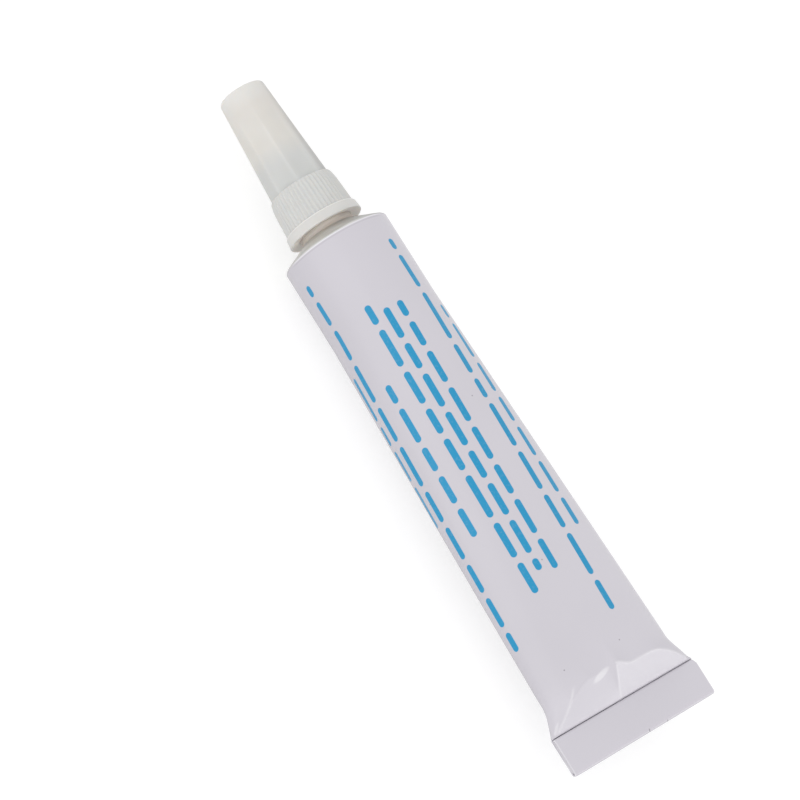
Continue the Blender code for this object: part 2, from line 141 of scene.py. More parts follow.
class Bench:
    """Adds and links the nodes of one shader tree."""

    def __init__(self, tree: bpy.types.NodeTree) -> None:
        """Work on the given tree."""
        self.tree = tree

    def add(self, kind: str, feeds: Feeds | None = None, **settings: object) -> Node:
        """Add a node.

        Args:
            kind: The node's type name.
            feeds: What each named or numbered input gets, a socket or a constant.
            settings: The node's own properties.

        Returns:
            The new node.
        """
        node = self.tree.nodes.new(kind)
        for name, value in settings.items():
            setattr(node, name, value)
        self.feed(node, feeds or {})
        return node

    def feed(self, node: Node, feeds: Feeds) -> None:
        """Link inputs of a node to their sources, or set constants on them.

        Args:
            node: The node.
            feeds: What each named or numbered input gets.
        """
        for name, source in feeds.items():
            if isinstance(source, Socket):
                self.tree.links.new(source, node.inputs[name])
            else:
                node.inputs[name].default_value = source

    def math(self, operation: str, *values: Source) -> Socket:
        """Result of a maths node on one to three values."""
        return self.add("ShaderNodeMath", dict(enumerate(values)), operation=operation).outputs[0]

    def times(self, *factors: Source) -> Socket:
        """Product of two or more values."""
        return reduce(lambda product, factor: self.math("MULTIPLY", product, factor), factors)

    def diagonal(self, *sides: Socket) -> Socket:
        """Length of the diagonal over two sides."""
        squares = [self.times(side, side) for side in sides]
        return self.math("SQRT", self.math("ADD", *squares))

    def fade(self, value: Source, low: float, high: float, start: float = 0.0, end: float = 1.0) -> Socket:
        """Smooth step of a value, from a start at its low mark to an end at its high one."""
        feeds = {0: value, 1: low, 2: high, 3: start, 4: end}
        return self.add("ShaderNodeMapRange", feeds, interpolation_type="SMOOTHSTEP").outputs[0]

    def spread(self, noise: Source, start: float = 0.0, end: float = 1.0) -> Socket:
        """Noise, spread from the range that most of it lies in to another one."""
        return self.fade(noise, NOISE_LOW, NOISE_HIGH, start, end)

    def band(self, value: Source, low: float, high: float, edge: float) -> Socket:
        """Mask that is 1 between two values and fades over an edge outside them."""
        return self.times(self.fade(value, low - edge, low), self.fade(value, high, high + edge, 1.0, 0.0))

    def mix(self, share: Source, first: Source, second: Source, blend: str = "MIX") -> Socket:
        """Mix of two colours.

        Args:
            share: How much of the second colour there is.
            first: The colour at share 0.
            second: The colour at share 1.
            blend: How they mix.

        Returns:
            The mixed colour.
        """
        first, second = (tone if isinstance(tone, Socket) else (*tone, 1.0) for tone in (first, second))
        feeds = {0: share, 6: first, 7: second}
        return self.add("ShaderNodeMix", feeds, data_type="RGBA", blend_type=blend).outputs[2]

    def ramp(self, value: Source, tones: Tones) -> Socket:
        """Colour that runs through some tones.

        Args:
            value: What is measured.
            tones: The tones, each with its own share from 0 to 1.

        Returns:
            The colour.
        """
        node = self.add("ShaderNodeValToRGB", {0: value})
        stops = node.color_ramp.elements
        stops.remove(stops[1])
        for number, (share, colour) in enumerate(tones):
            stop = stops.new(share) if number else stops[0]
            stop.color = (*colour, 1.0)
        return node.outputs["Color"]

    def noise(self, vector: Source, scale: Source, detail: float = 2.0) -> Socket:
        """Value of a noise texture."""
        feeds = {"Vector": vector, "Scale": scale, "Detail": detail}
        return self.add("ShaderNodeTexNoise", feeds).outputs["Fac"]

    def bump(self, height: Source, depth: float) -> Socket:
        """Normal of a surface with relief of the given depth in metres."""
        feeds = {"Height": height, "Distance": depth, "Strength": 1.0}
        return self.add("ShaderNodeBump", feeds).outputs["Normal"]

    def place(self) -> Socket:
        """Object coordinates, in metres in the frame."""
        return self.add("ShaderNodeTexCoord").outputs["Object"]

    def parts(self, vector: Source) -> bpy.types.NodeOutputs:
        """The three parts of a vector."""
        return self.add("ShaderNodeSeparateXYZ", {0: vector}).outputs

    def painted_highlight(self) -> Socket:
        """Share of painted highlight that the mesh's points carry."""
        return self.add("ShaderNodeAttribute", attribute_name=HIGHLIGHT_MAP).outputs["Fac"]


class Effect(abc.ABC):
    """A shader effect that is drawn once as a node group and placed with its own values."""

    title: str
    inlets: dict[str, Kind]
    outlets: dict[str, Kind]

    @abc.abstractmethod
    def draw(self, bench: Bench, inlets: bpy.types.NodeOutputs) -> Feeds:
        """Draw the effect's nodes.

        Args:
            bench: The group's bench.
            inlets: What comes into the group, by name.

        Returns:
            What each outlet of the group gets.
        """

    def group(self) -> bpy.types.NodeTree:
        """The effect's node group, drawn at the first call.

        Returns:
            The group.
        """
        found = bpy.data.node_groups.get(self.title)
        if found:
            return found
        tree = bpy.data.node_groups.new(self.title, "ShaderNodeTree")
        for way, sockets in (("INPUT", self.inlets), ("OUTPUT", self.outlets)):
            for name, kind in sockets.items():
                tree.interface.new_socket(name=name, in_out=way, socket_type=kind.value)
        bench = Bench(tree)
        bench.add("NodeGroupOutput", self.draw(bench, bench.add("NodeGroupInput").outputs))
        return tree

    def put(self, bench: Bench, feeds: Feeds) -> bpy.types.NodeOutputs:
        """Outlets of the effect, placed in a material with what its inlets get."""
        return bench.add("ShaderNodeGroup", feeds, node_tree=self.group()).outputs


class InkRow(Effect):
    """One row of printed bars with rounded ends and uneven lengths, along the tube."""

    title = "ink row"
    inlets = {name: Kind.VALUE for name in ("Along", "Across", "Row", "Start", "End", "Seed")}
    outlets = {"Mask": Kind.VALUE}
    bar_radius = 0.48 * MM
    bar_gap = 0.95 * MM
    bars_per_metre = 165.0
    unevenness = 0.8
    softness = 0.05 * MM

    def draw(self, bench: Bench, inlets: bpy.types.NodeOutputs) -> Feeds:
        """Distance from the nearest bar, turned into a mask."""
        along = inlets["Along"]
        count = bench.math("MULTIPLY_ADD", along, self.bars_per_metre, inlets["Seed"])
        feeds = {"W": count, "Scale": 1.0, "Randomness": self.unevenness}
        cells = bench.add("ShaderNodeTexVoronoi", feeds, voronoi_dimensions="1D", feature="DISTANCE_TO_EDGE")
        edge = cells.outputs["Distance"]
        inside = bench.math("MULTIPLY_ADD", edge, 1 / self.bars_per_metre, -self.bar_gap / 2)
        for near, far in ((inlets["Start"], along), (along, inlets["End"])):
            inside = bench.math("MINIMUM", inside, bench.math("SUBTRACT", far, near))
        past = bench.math("MAXIMUM", bench.math("SUBTRACT", self.bar_radius, inside), 0.0)
        reach = bench.diagonal(past, bench.math("SUBTRACT", inlets["Across"], inlets["Row"]))
        low, high = self.bar_radius - self.softness, self.bar_radius + self.softness
        return {"Mask": bench.fade(reach, low, high, 1.0, 0.0)}


class Specks(Effect):
    """A few dark grains of dust, each on its own spot."""

    title = "dust specks"
    inlets = {"Vector": Kind.VECTOR, "Per Metre": Kind.VALUE, "Size": Kind.VALUE, "Share": Kind.VALUE}
    outlets = {"Mask": Kind.VALUE}
    core = 0.6
    fringe = 1.1

    def draw(self, bench: Bench, inlets: bpy.types.NodeOutputs) -> Feeds:
        """Cells of a Voronoi texture, of which only a share holds a grain."""
        feeds = {"Vector": inlets["Vector"], "Scale": inlets["Per Metre"]}
        cell = bench.add("ShaderNodeTexVoronoi", feeds, voronoi_dimensions="2D").outputs
        pick = bench.add("ShaderNodeSeparateColor", {0: cell["Color"]}).outputs[0]
        chosen = bench.math("LESS_THAN", pick, inlets["Share"])
        away = bench.math("DIVIDE", cell["Distance"], inlets["Per Metre"])
        near = bench.fade(bench.math("DIVIDE", away, inlets["Size"]), self.core, self.fringe, 1.0, 0.0)
        return {"Mask": bench.times(chosen, near)}


class Grain(Effect):
    """Fine unevenness of a moulded or painted surface, over a slow drift of its tone."""

    title = "surface grain"
    inlets = {"Vector": Kind.VECTOR, "Fine": Kind.VALUE, "Slow": Kind.VALUE}
    outlets = {"Height": Kind.VALUE, "Drift": Kind.VALUE}
    fine_detail = 3.0
    slow_detail = 1.0

    def draw(self, bench: Bench, inlets: bpy.types.NodeOutputs) -> Feeds:
        """Two noises of different size."""
        fine = bench.noise(inlets["Vector"], inlets["Fine"], self.fine_detail)
        return {"Height": fine, "Drift": bench.noise(inlets["Vector"], inlets["Slow"], self.slow_detail)}


class TurnedLines(Effect):
    """Fine rings that drawing or turning leaves round a metal piece."""

    title = "turned lines"
    inlets = {"Vector": Kind.VECTOR, "Per Metre": Kind.VALUE}
    outlets = {"Height": Kind.VALUE, "Tone": Kind.VALUE}
    stretch = (1.0, 0.04, 0.04)
    detail = 3.0

    def draw(self, bench: Bench, inlets: bpy.types.NodeOutputs) -> Feeds:
        """Noise that is stretched round the axis."""
        feeds = {0: inlets["Vector"], 1: self.stretch}
        rings = bench.add("ShaderNodeVectorMath", feeds, operation="MULTIPLY").outputs[0]
        lines = bench.noise(rings, inlets["Per Metre"], self.detail)
        return {"Height": lines, "Tone": bench.fade(bench.spread(lines), 0.0, 1.0)}


# Finishes


@dataclass(frozen=True)
class Finish(abc.ABC):
    """What every finish has: a name, a colour, and how rough it is."""

    name: str
    colour: Colour
    roughness: float

    def material(self) -> bpy.types.Material:
        """The finish as a node material, made at the first call.

        Returns:
            The material.
        """
        found = bpy.data.materials.get(self.name)
        if found:
            return found
        material = bpy.data.materials.new(self.name)
        material.use_nodes = True
        material.diffuse_color = (*self.colour, 1.0)
        bench = Bench(material.node_tree)
        shader = material.node_tree.nodes["Principled BSDF"]
        bench.feed(shader, {"Roughness": self.roughness})
        self.dress(bench, shader)
        return material

    @abc.abstractmethod
    def dress(self, bench: Bench, shader: Node) -> None:
        """Feed the Principled shader.

        Args:
            bench: The material's bench.
            shader: The shader.
        """

    def tint(self, share: float) -> Colour:
        """The finish's colour, made darker or lighter by a factor."""
        return tuple(min(1.0, share * part) for part in self.colour)

    def uneven(self, bench: Bench, height: Source, swing: float) -> Socket:
        """Roughness that swings up and down with a relief."""
        return bench.spread(height, self.roughness - swing, self.roughness + swing)


@dataclass(frozen=True)
class PrintRow:
    """Place of one printed row on the sleeve, in metres from the rim and from the front's centre line."""

    across: float
    start: float
    end: float
    seed: float


@dataclass(frozen=True)
class Enamel(Finish):
    """White stoving enamel with rows of blue ink bars and dust, painted light and shade across the sleeve, a
    thick edge at the rim with a painted highlight on it and painted shade under it, and painted highlights
    on the strip's folded edge and the pressed folds.
    """

    name: str = "white stoving enamel"
    colour: Colour = (0.625, 0.602, 0.652)
    roughness: float = 0.24
    ink: Colour = (0.004, 0.285, 0.535)
    # Light tone of the painted highlights: on the rim's thick edge, the strip's folded edge and the pressed
    # folds.
    edge: Colour = (0.88, 0.87, 0.89)
    # Dark tone of the dust specks, also used for the painted shade under the rim's edge.
    dust_and_shade: Colour = (0.16, 0.15, 0.17)
    grain_scale: float = 1500.0
    drift_scale: float = 90.0
    drift_tint: float = 0.985
    rough_swing: float = 0.03
    peel: float = 6.0
    peel_depth: float = 0.0015 * MM
    # Painted light and shade across the sleeve, lighter on its right side, faded out towards the strip.
    side_light_swing: float = 0.05
    side_light_end: float = -71.0 * MM
    side_light_full: float = -66.0 * MM
    sleeve_radius: float = 8.0 * MM
    # Span across the tube where the rim's painted highlight and the painted shade under it are shown.
    lit_right: float = -3.5 * MM
    lit_left: float = 10.0 * MM
    lit_fade: float = 2.5 * MM
    # Thick enamel edge at the rim, with a painted highlight on it.
    edge_start: float = 0.1 * MM
    edge_width: float = 0.1 * MM
    rim_highlight_share: float = 0.6
    # Painted shade: a thin darker line just under the rim's thick edge.
    edge_shadow_start: float = -0.16 * MM
    edge_shadow_end: float = -0.04 * MM
    edge_shadow_share: float = 0.13
    line_fade: float = 0.05 * MM
    # Painted highlight along the strip's folded edge.
    bend_start: float = -78.6 * MM
    bend_end: float = -79.6 * MM
    bend_fade: float = 0.25 * MM
    bend_highlight_share: float = 0.5
    painted_highlight: float = 0.45
    ink_scale: float = 2600.0
    ink_thin: float = 0.93
    ink_thin_below: float = 0.25
    ink_full_above: float = 0.5
    ink_roughness: float = 0.08
    speck_scale: float = 210.0
    speck_size: float = 0.12 * MM
    speck_share: float = 0.12
    speck_tone: float = 0.55
    rows: tuple[PrintRow, ...] = (
        PrintRow(-6.3 * MM, -50.4 * MM, -14.8 * MM, 1.47),
        PrintRow(-3.6 * MM, -62.5 * MM, -3.8 * MM, 8.09),
        PrintRow(0.9 * MM, -54.1 * MM, -12.3 * MM, 14.2),
        PrintRow(3.05 * MM, -53.3 * MM, -12.3 * MM, 23.51),
        PrintRow(5.1 * MM, -55.7 * MM, -10.7 * MM, 31.1),
        PrintRow(8.3 * MM, -45.0 * MM, -21.3 * MM, 43.7),
        PrintRow(11.5 * MM, -60.9 * MM, -3.4 * MM, 52.59),
        PrintRow(13.6 * MM, -40.9 * MM, -17.1 * MM, 67.61),
    )

    def dress(self, bench: Bench, shader: Node) -> None:
        """Enamel tone, painted light and shade, ink, dust and relief."""
        surface = bench.add("ShaderNodeUVMap", uv_map=SURFACE_MAP).outputs["UV"]
        along, across, _ = bench.parts(surface)
        place = bench.place()
        grain = Grain().put(bench, {"Vector": place, "Fine": self.grain_scale, "Slow": self.drift_scale})
        colour = bench.mix(bench.spread(grain["Drift"]), self.tint(self.drift_tint), self.colour)
        # Painted light and shade: the sleeve lighter on its right and darker on its left.
        colour = bench.mix(1.0, colour, self.side_light(bench, along, across), "MULTIPLY")
        for share, tone in self.folds_and_painted_light(bench, along, across):
            colour = bench.mix(share, colour, tone)
        ink = self.ink_mask(bench, along, across)
        cover = bench.noise(place, self.ink_scale)
        cover = bench.fade(cover, self.ink_thin_below, self.ink_full_above, self.ink_thin)
        colour = bench.mix(bench.times(ink, cover), colour, self.ink)
        feeds = {"Per Metre": self.speck_scale, "Size": self.speck_size, "Share": self.speck_share}
        specks = Specks().put(bench, {"Vector": surface, **feeds})["Mask"]
        colour = bench.mix(bench.times(specks, self.speck_tone), colour, self.dust_and_shade)
        rough = self.uneven(bench, grain["Height"], self.rough_swing)
        rough = bench.math("MULTIPLY_ADD", ink, self.ink_roughness, rough)
        peel = bench.math("MULTIPLY_ADD", grain["Drift"], self.peel, grain["Height"])
        normal = bench.bump(peel, self.peel_depth)
        bench.feed(shader, {"Base Color": colour, "Roughness": rough, "Normal": normal})

    def side_light(self, bench: Bench, along: Source, across: Source) -> Socket:
        """Painted light and shade across the sleeve: lighter on the tube's right and darker on its left, and
        even on the strip.

        Args:
            bench: The material's bench.
            along: Place along the tube.
            across: Place across it.

        Returns:
            The tone as a grey.
        """
        swing = bench.math("SINE", bench.times(across, -1.0 / self.sleeve_radius))
        swing = bench.times(swing, bench.fade(along, self.side_light_end, self.side_light_full))
        tone = bench.math("MULTIPLY_ADD", swing, self.side_light_swing, 1.0)
        return bench.add("ShaderNodeCombineColor", {0: tone, 1: tone, 2: tone}).outputs[0]

    def folds_and_painted_light(self, bench: Bench, along: Source, across: Source) -> list[tuple[Socket, Colour]]:
        """Painted highlight on the thick edge at the rim, painted shade under it, and painted highlights on
        the strip's folded edge and on the folds.

        Args:
            bench: The material's bench.
            along: Place along the tube.
            across: Place across it.

        Returns:
            The mask and the tone of each of them.
        """
        shown = bench.band(across, self.lit_right, self.lit_left, self.lit_fade)
        thick = bench.band(along, self.edge_start, self.edge_start + self.edge_width, self.line_fade)
        edge_shadow = bench.band(along, self.edge_shadow_start, self.edge_shadow_end, self.line_fade)
        bend = bench.band(along, self.bend_end, self.bend_start, self.bend_fade)
        return [
            (bench.times(thick, shown, self.rim_highlight_share), self.edge),
            (bench.times(edge_shadow, shown, self.edge_shadow_share), self.dust_and_shade),
            (bench.times(bend, self.bend_highlight_share), self.edge),
            (bench.times(bench.painted_highlight(), self.painted_highlight), self.edge),
        ]

    def ink_mask(self, bench: Bench, along: Source, across: Source) -> Socket:
        """Mask of all the printed rows together.

        Args:
            bench: The material's bench.
            along: Place along the tube.
            across: Place across it.

        Returns:
            1 on the ink and 0 beside it.
        """
        total: Source = 0.0
        for row in self.rows:
            feeds = {"Along": along, "Across": across, "Row": row.across, "Start": row.start, "End": row.end}
            mask = InkRow().put(bench, {**feeds, "Seed": row.seed})["Mask"]
            total = bench.math("MAXIMUM", total, mask)
        return total


@dataclass(frozen=True)
class BareMetal(Finish):
    """Drawn or turned metal with fine rings, and painted shade on its right side and towards its rim."""

    name: str = "bare aluminium"
    colour: Colour = (0.83, 0.825, 0.80)
    roughness: float = 0.45
    lines_per_metre: float = 9000.0
    line_depth: float = 0.004 * MM
    painted_shade: float = 0.0
    line_tint: float = 0.86
    rough_swing: float = 0.07
    painted_shade_tint: float = 0.55
    shade_lean: float = 0.6
    rim_shade_share: float = 0.4
    rim_shade_start: float = 6.4 * MM
    rim_shade_end: float = 7.7 * MM
    hub: float = 1e-6

    def dress(self, bench: Bench, shader: Node) -> None:
        """Metal with turned lines in its tone, roughness and relief."""
        place = bench.place()
        lines = TurnedLines().put(bench, {"Vector": place, "Per Metre": self.lines_per_metre})
        colour = bench.mix(lines["Tone"], self.tint(self.line_tint), self.colour)
        # Painted shade: darker towards the tube's right side (-Y) and towards the rim.
        _, side, height = bench.parts(place)
        radius = bench.diagonal(side, bench.math("SUBTRACT", height, AXIS_HEIGHT))
        lean = bench.math("DIVIDE", side, bench.math("ADD", radius, self.hub))
        right = bench.fade(lean, self.shade_lean, -self.shade_lean)
        rim = bench.fade(radius, self.rim_shade_start, self.rim_shade_end, 0.0, self.rim_shade_share)
        painted_dim = bench.times(bench.math("MAXIMUM", right, rim), self.painted_shade)
        feeds = {
            "Base Color": bench.mix(painted_dim, colour, self.tint(self.painted_shade_tint)),
            "Roughness": self.uneven(bench, lines["Height"], self.rough_swing),
            "Normal": bench.bump(lines["Height"], self.line_depth),
            "Metallic": 1.0,
        }
        bench.feed(shader, feeds)


@dataclass(frozen=True)
class MouldedPlastic(Finish):
    """Moulded plastic that lets some light into its skin, with a tone that may change along the axis."""

    name: str = "white moulded plastic"
    colour: Colour = (0.72, 0.712, 0.69)
    roughness: float = 0.42
    tones: Tones = ((0.0, (0.70, 0.692, 0.672)), (1.0, (0.65, 0.65, 0.636)))
    near: float = 0.0
    far: float = 1.0
    depth: float = 0.5 * MM
    scatter: float = 0.5
    scatter_reach: Colour = (1.0, 0.85, 0.7)
    grain_scale: float = 2200.0
    drift_scale: float = 260.0
    drift_shade: float = 0.06
    grain_depth: float = 0.004 * MM
    rough_swing: float = 0.05
    gloss: float = 0.5
    side_shade: float = 0.0
    shade_start: float = -1.5 * MM
    shade_full: float = -3.3 * MM
    shade_tint: float = 0.55
    painted_highlight: float = 0.05
    highlight_tone: Colour = (0.95, 0.94, 0.92)

    def dress(self, bench: Bench, shader: Node) -> None:
        """Plastic with a tone along the axis, fine grain, painted shade on its right side, painted
        highlights where the mesh carries them, and light under its skin.
        """
        place = bench.place()
        along, side, _ = bench.parts(place)
        grain = Grain().put(bench, {"Vector": place, "Fine": self.grain_scale, "Slow": self.drift_scale})
        colour = bench.ramp(bench.fade(along, self.near, self.far), self.tones)
        # Painted shade: darker towards the right side (-Y).
        shade = bench.fade(side, self.shade_start, self.shade_full, 0.0, self.side_shade)
        shade = bench.math("ADD", bench.spread(grain["Drift"], 0.0, self.drift_shade), shade)
        colour = bench.mix(shade, colour, self.tint(self.shade_tint))
        feeds = {
            "Base Color": bench.mix(bench.times(bench.painted_highlight(), self.painted_highlight), colour, self.highlight_tone),
            "Roughness": self.uneven(bench, grain["Height"], self.rough_swing),
            "Normal": bench.bump(grain["Height"], self.grain_depth),
            "Specular IOR Level": self.gloss,
            "Subsurface Weight": self.scatter,
            "Subsurface Radius": self.scatter_reach,
            "Subsurface Scale": self.depth,
        }
        bench.feed(shader, feeds)


@dataclass(frozen=True)
class Latex(Finish):
    """Dried latex: matt, cream, and a little uneven."""

    name: str = "dried latex"
    colour: Colour = (0.78, 0.74, 0.62)
    roughness: float = 0.7
    drift_tint: float = 0.85
    skin_depth: float = 0.02 * MM

    def dress(self, bench: Bench, shader: Node) -> None:
        """Cream tone that drifts, with a soft skin."""
        grain = Grain().put(bench, {"Vector": bench.place(), "Fine": 1800.0, "Slow": 300.0})
        colour = bench.mix(grain["Drift"], self.colour, self.tint(self.drift_tint))
        bench.feed(shader, {"Base Color": colour, "Normal": bench.bump(grain["Height"], self.skin_depth)})


@dataclass(frozen=True)
class ClearGlue(Finish):
    """Clear solvent glue, faintly amber, with streaks where it is thicker."""

    name: str = "clear glue"
    colour: Colour = (0.90, 0.84, 0.66)
    roughness: float = 0.08
    streak_tint: float = 1.08
    streak_depth: float = 0.03 * MM
    clearness: float = 0.85
    refraction: float = 1.44

    def dress(self, bench: Bench, shader: Node) -> None:
        """Glassy body with slow streaks in its tone."""
        drift = Grain().put(bench, {"Vector": bench.place(), "Fine": 500.0, "Slow": 120.0})["Drift"]
        colour = bench.mix(drift, self.colour, self.tint(self.streak_tint))
        bench.feed(shader, {"Base Color": colour, "Normal": bench.bump(drift, self.streak_depth)})
        bench.feed(shader, {"Transmission Weight": self.clearness, "IOR": self.refraction})


# Sizes and places that the pieces share


@dataclass(frozen=True)
class Layout:
    """Sizes that neighbouring pieces share, and the stations that follow from them."""

    sleeve_radius: float = 8.0 * MM
    sleeve_length: float = 73.0 * MM
    strip_height: float = 6.0 * MM
    rim_round: float = 0.6 * MM
    shoulder_slope: float = math.radians(27)
    neck_radius: float = 3.75 * MM
    neck_bore: float = 2.5 * MM
    neck_height: float = 5.81 * MM
    thread_pitch: float = 1.0 * MM
    thread_fullness: float = 0.9
    thread_clearance: float = 0.3 * MM
    seat_gap: float = 0.3 * MM
    collar_lift: float = 0.46 * MM
    collar_roof: float = 1.3 * MM
    plug_length: float = 1.3 * MM
    plug_radius: float = 2.25 * MM
    spigot_height: float = 2.6 * MM
    cap_length: float = 15.9 * MM
    cap_gap: float = 0.1 * MM
    cap_foot_radius: float = 4.5 * MM
    cap_foot_wall: float = 0.6 * MM
    cap_solid_tip: float = 3.0 * MM
    cap_facets: int = 8
    cap_clearance: float = 0.2 * MM
    needle_radius: float = 0.45 * MM
    needle_bore: float = 0.3 * MM
    needle_clearance: float = 0.05 * MM
    needle_tip_room: float = 1.2 * MM
    funnel_depth: float = 0.9 * MM
    needle_ledge: float = 0.25 * MM
    wire_radius: float = 0.2 * MM
    wire_grip: float = 2.0 * MM

    @property
    def tail_end(self) -> float:
        """Station of the strip's folded edge."""
        return -(self.sleeve_length + self.strip_height)

    @property
    def rim_top(self) -> float:
        """Station where the rim's round meets the shoulder's cone."""
        return self.rim_round * math.cos(self.shoulder_slope)

    @property
    def rim_inner(self) -> float:
        """Radius where the rim's round meets the shoulder's cone."""
        return self.sleeve_radius - self.rim_round * (1 - math.sin(self.shoulder_slope))

    @property
    def shoulder_height(self) -> float:
        """Station where the cone meets the neck."""
        return self.rim_top + (self.rim_inner - self.neck_radius) * math.tan(self.shoulder_slope)

    @property
    def neck_top(self) -> float:
        """Station of the neck's mouth."""
        return self.shoulder_height + self.neck_height

    @property
    def collar_bottom(self) -> float:
        """Station of the collar's underside."""
        return self.shoulder_height + self.collar_lift

    @property
    def collar_bore(self) -> float:
        """Radius of the collar's threaded bore."""
        return self.neck_radius + self.thread_clearance

    @property
    def roof_underside(self) -> float:
        """Station of the collar's roof, seen from inside."""
        return self.neck_top + self.seat_gap

    @property
    def plug_bottom(self) -> float:
        """Station of the sealing plug's lower edge."""
        return self.roof_underside - self.plug_length

    @property
    def cap_seat(self) -> float:
        """Station of the seat that the cap stands on."""
        return self.roof_underside + self.collar_roof

    @property
    def cap_mouth(self) -> float:
        """Station of the cap's foot."""
        return self.cap_seat + self.cap_gap

    @property
    def cap_bore(self) -> float:
        """Radius of the cap's bore at its foot."""
        return self.cap_foot_radius * math.cos(math.pi / self.cap_facets) - self.cap_foot_wall

    @property
    def cap_ceiling(self) -> float:
        """Station where the cap's hollow ends."""
        return self.cap_end - self.cap_solid_tip

    @property
    def cap_end(self) -> float:
        """Station of the cap's tip."""
        return self.cap_mouth + self.cap_length

    @property
    def needle_hole(self) -> float:
        """Radius of the hole that the needle stands in."""
        return self.needle_radius + self.needle_clearance

    @property
    def ledge_top(self) -> float:
        """Station of the ledge under the needle."""
        return self.roof_underside + self.funnel_depth + self.needle_ledge

    @property
    def needle_bottom(self) -> float:
        """Station of the needle's lower end."""
        return self.ledge_top + self.needle_clearance

    @property
    def needle_top(self) -> float:
        """Station of the needle's tip."""
        return self.cap_ceiling - self.needle_tip_room

    def thread(self, station: Array, turn: Array) -> Array:
        """Right-hand thread: 1 on the neck's crests and 0 in its grooves, at angles from +Y towards +Z."""
        phase = 2 * np.pi * (station / self.thread_pitch) - turn
        return np.clip(0.5 + self.thread_fullness * np.cos(phase), 0.0, 1.0)


@dataclass(frozen=True)
class Axis:
    """The tube's axis in the frame."""

    rim: float
    height: float

    @classmethod
    def from_frame(cls, layout: Layout) -> "Axis":
        """The axis and the rim's place on it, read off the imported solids."""
        low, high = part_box("nozzle_collar")
        return cls(rim=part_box("cap")[1].x - layout.cap_end, height=(low.z + high.z) / 2)

    def point(self, station: float) -> Vector:
        """The point of the frame at a station on the axis."""
        return Vector((self.rim + station, 0.0, self.height))


def meshed(name: str, shape: Shape) -> bpy.types.Mesh:
    """Mesh of a shape, which is freed."""
    mesh = bpy.data.meshes.new(name)
    shape.to_mesh(mesh)
    shape.free()
    return mesh


def placed(name: str, data: bpy.types.ID) -> bpy.types.Object:
    """A new object of the scene with the given data."""
    thing = bpy.data.objects.new(name, data)
    bpy.context.scene.collection.objects.link(thing)
    return thing


@dataclass(frozen=True)
class Part(abc.ABC):
    """A piece of the tube: its name, what it stands for, its shape and its finishes."""

    layout: Layout
    title: ClassVar[str]
    node: ClassVar[str]
    body: ClassVar[Body]
    slot: ClassVar[Slot]
    crease: ClassVar[float] = math.radians(35)

    @abc.abstractmethod
    def shape(self) -> Shape:
        """Model the piece about the axis, with stations along X.

        Returns:
            Its mesh.
        """

    @abc.abstractmethod
    def finishes(self, axis: Axis) -> list[Finish]:
        """The finishes of the shape's material numbers.

        Args:
            axis: The tube's axis in the frame.

        Returns:
            The finishes in order.
        """

    def build(self, axis: Axis) -> None:
        """Model and dress the piece.

        Args:
            axis: The tube's axis in the frame.
        """
        shape = self.shape()
        bmesh.ops.recalc_face_normals(shape, faces=shape.faces)
        bmesh.ops.translate(shape, verts=shape.verts, vec=axis.point(0.0))
        mesh = meshed(self.title, shape)
        for finish in self.finishes(axis):
            mesh.materials.append(finish.material())
        mesh.shade_smooth()
        mesh.set_sharp_from_angle(angle=self.crease)
        piece = placed(self.title, mesh)
        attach(piece, self.body.value)
        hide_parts(self.node)
        LOG.info("%s on %s: %d faces", self.title, self.body.value, len(mesh.polygons))


@dataclass(frozen=True)
class TurnedPart(Part):
    """A piece that is turned about the axis, and then worked in and out from it."""

    steps: int = 40

    @abc.abstractmethod
    def profile(self) -> Profile:
        """Points of the section as (station, radius).

        Returns:
            The points in order.
        """

    def worked(self, station: Array, turn: Array, radius: Array) -> Array:
        """Radii of the skin when flutes, threads or flat sides are worked into it.

        Args:
            station: Stations of the skin's points.
            turn: Their angles about the axis, from +Y towards +Z.
            radius: Their radii as they were turned.

        Returns:
            The new radii.
        """
        return radius

    def shape(self) -> Shape:
        """Turn the profile and work the skin."""
        shape = turned(self.profile(), self.steps)
        reshape(shape, self.worked)
        return shape


def arc(centre: Point, radius: float, start: float, end: float, steps: int) -> Profile:
    """Points on an arc of a profile, between angles in degrees of which 90 is away from the axis."""
    turns = np.radians(np.linspace(start, end, steps + 1))
    return [(centre[0] + radius * math.cos(t), centre[1] + radius * math.sin(t)) for t in turns]


def run(first: Point, last: Point, steps: int) -> Profile:
    """Points on a straight stretch of a profile, without the last one."""
    shares = np.linspace(0.0, 1.0, steps + 1)[:-1]
    return [tuple(np.add(first, np.subtract(last, first) * share)) for share in shares]


def turned(profile: Profile, steps: int) -> Shape:
    """Turn a profile about the axis. It is closed to a ring if it doesn't start on the axis.

    Args:
        profile: Points as (station, radius).
        steps: Steps round the axis.

    Returns:
        The turned skin, with its poles merged.
    """
    shape = bmesh.new()
    verts = [shape.verts.new((station, 0.0, radius)) for station, radius in profile]
    edges = [shape.edges.new(pair) for pair in zip(verts, verts[1:])]
    if profile[0][1] > 0:
        edges.append(shape.edges.new((verts[-1], verts[0])))
    bmesh.ops.spin(
        shape,
        geom=verts + edges,
        cent=(0.0, 0.0, 0.0),
        axis=(1.0, 0.0, 0.0),
        angle=2 * math.pi,
        steps=steps,
        use_merge=True,
    )
    poles = [vert for vert in shape.verts if math.hypot(vert.co.y, vert.co.z) < POLE_REACH]
    bmesh.ops.remove_doubles(shape, verts=poles, dist=POLE_REACH)
    return shape


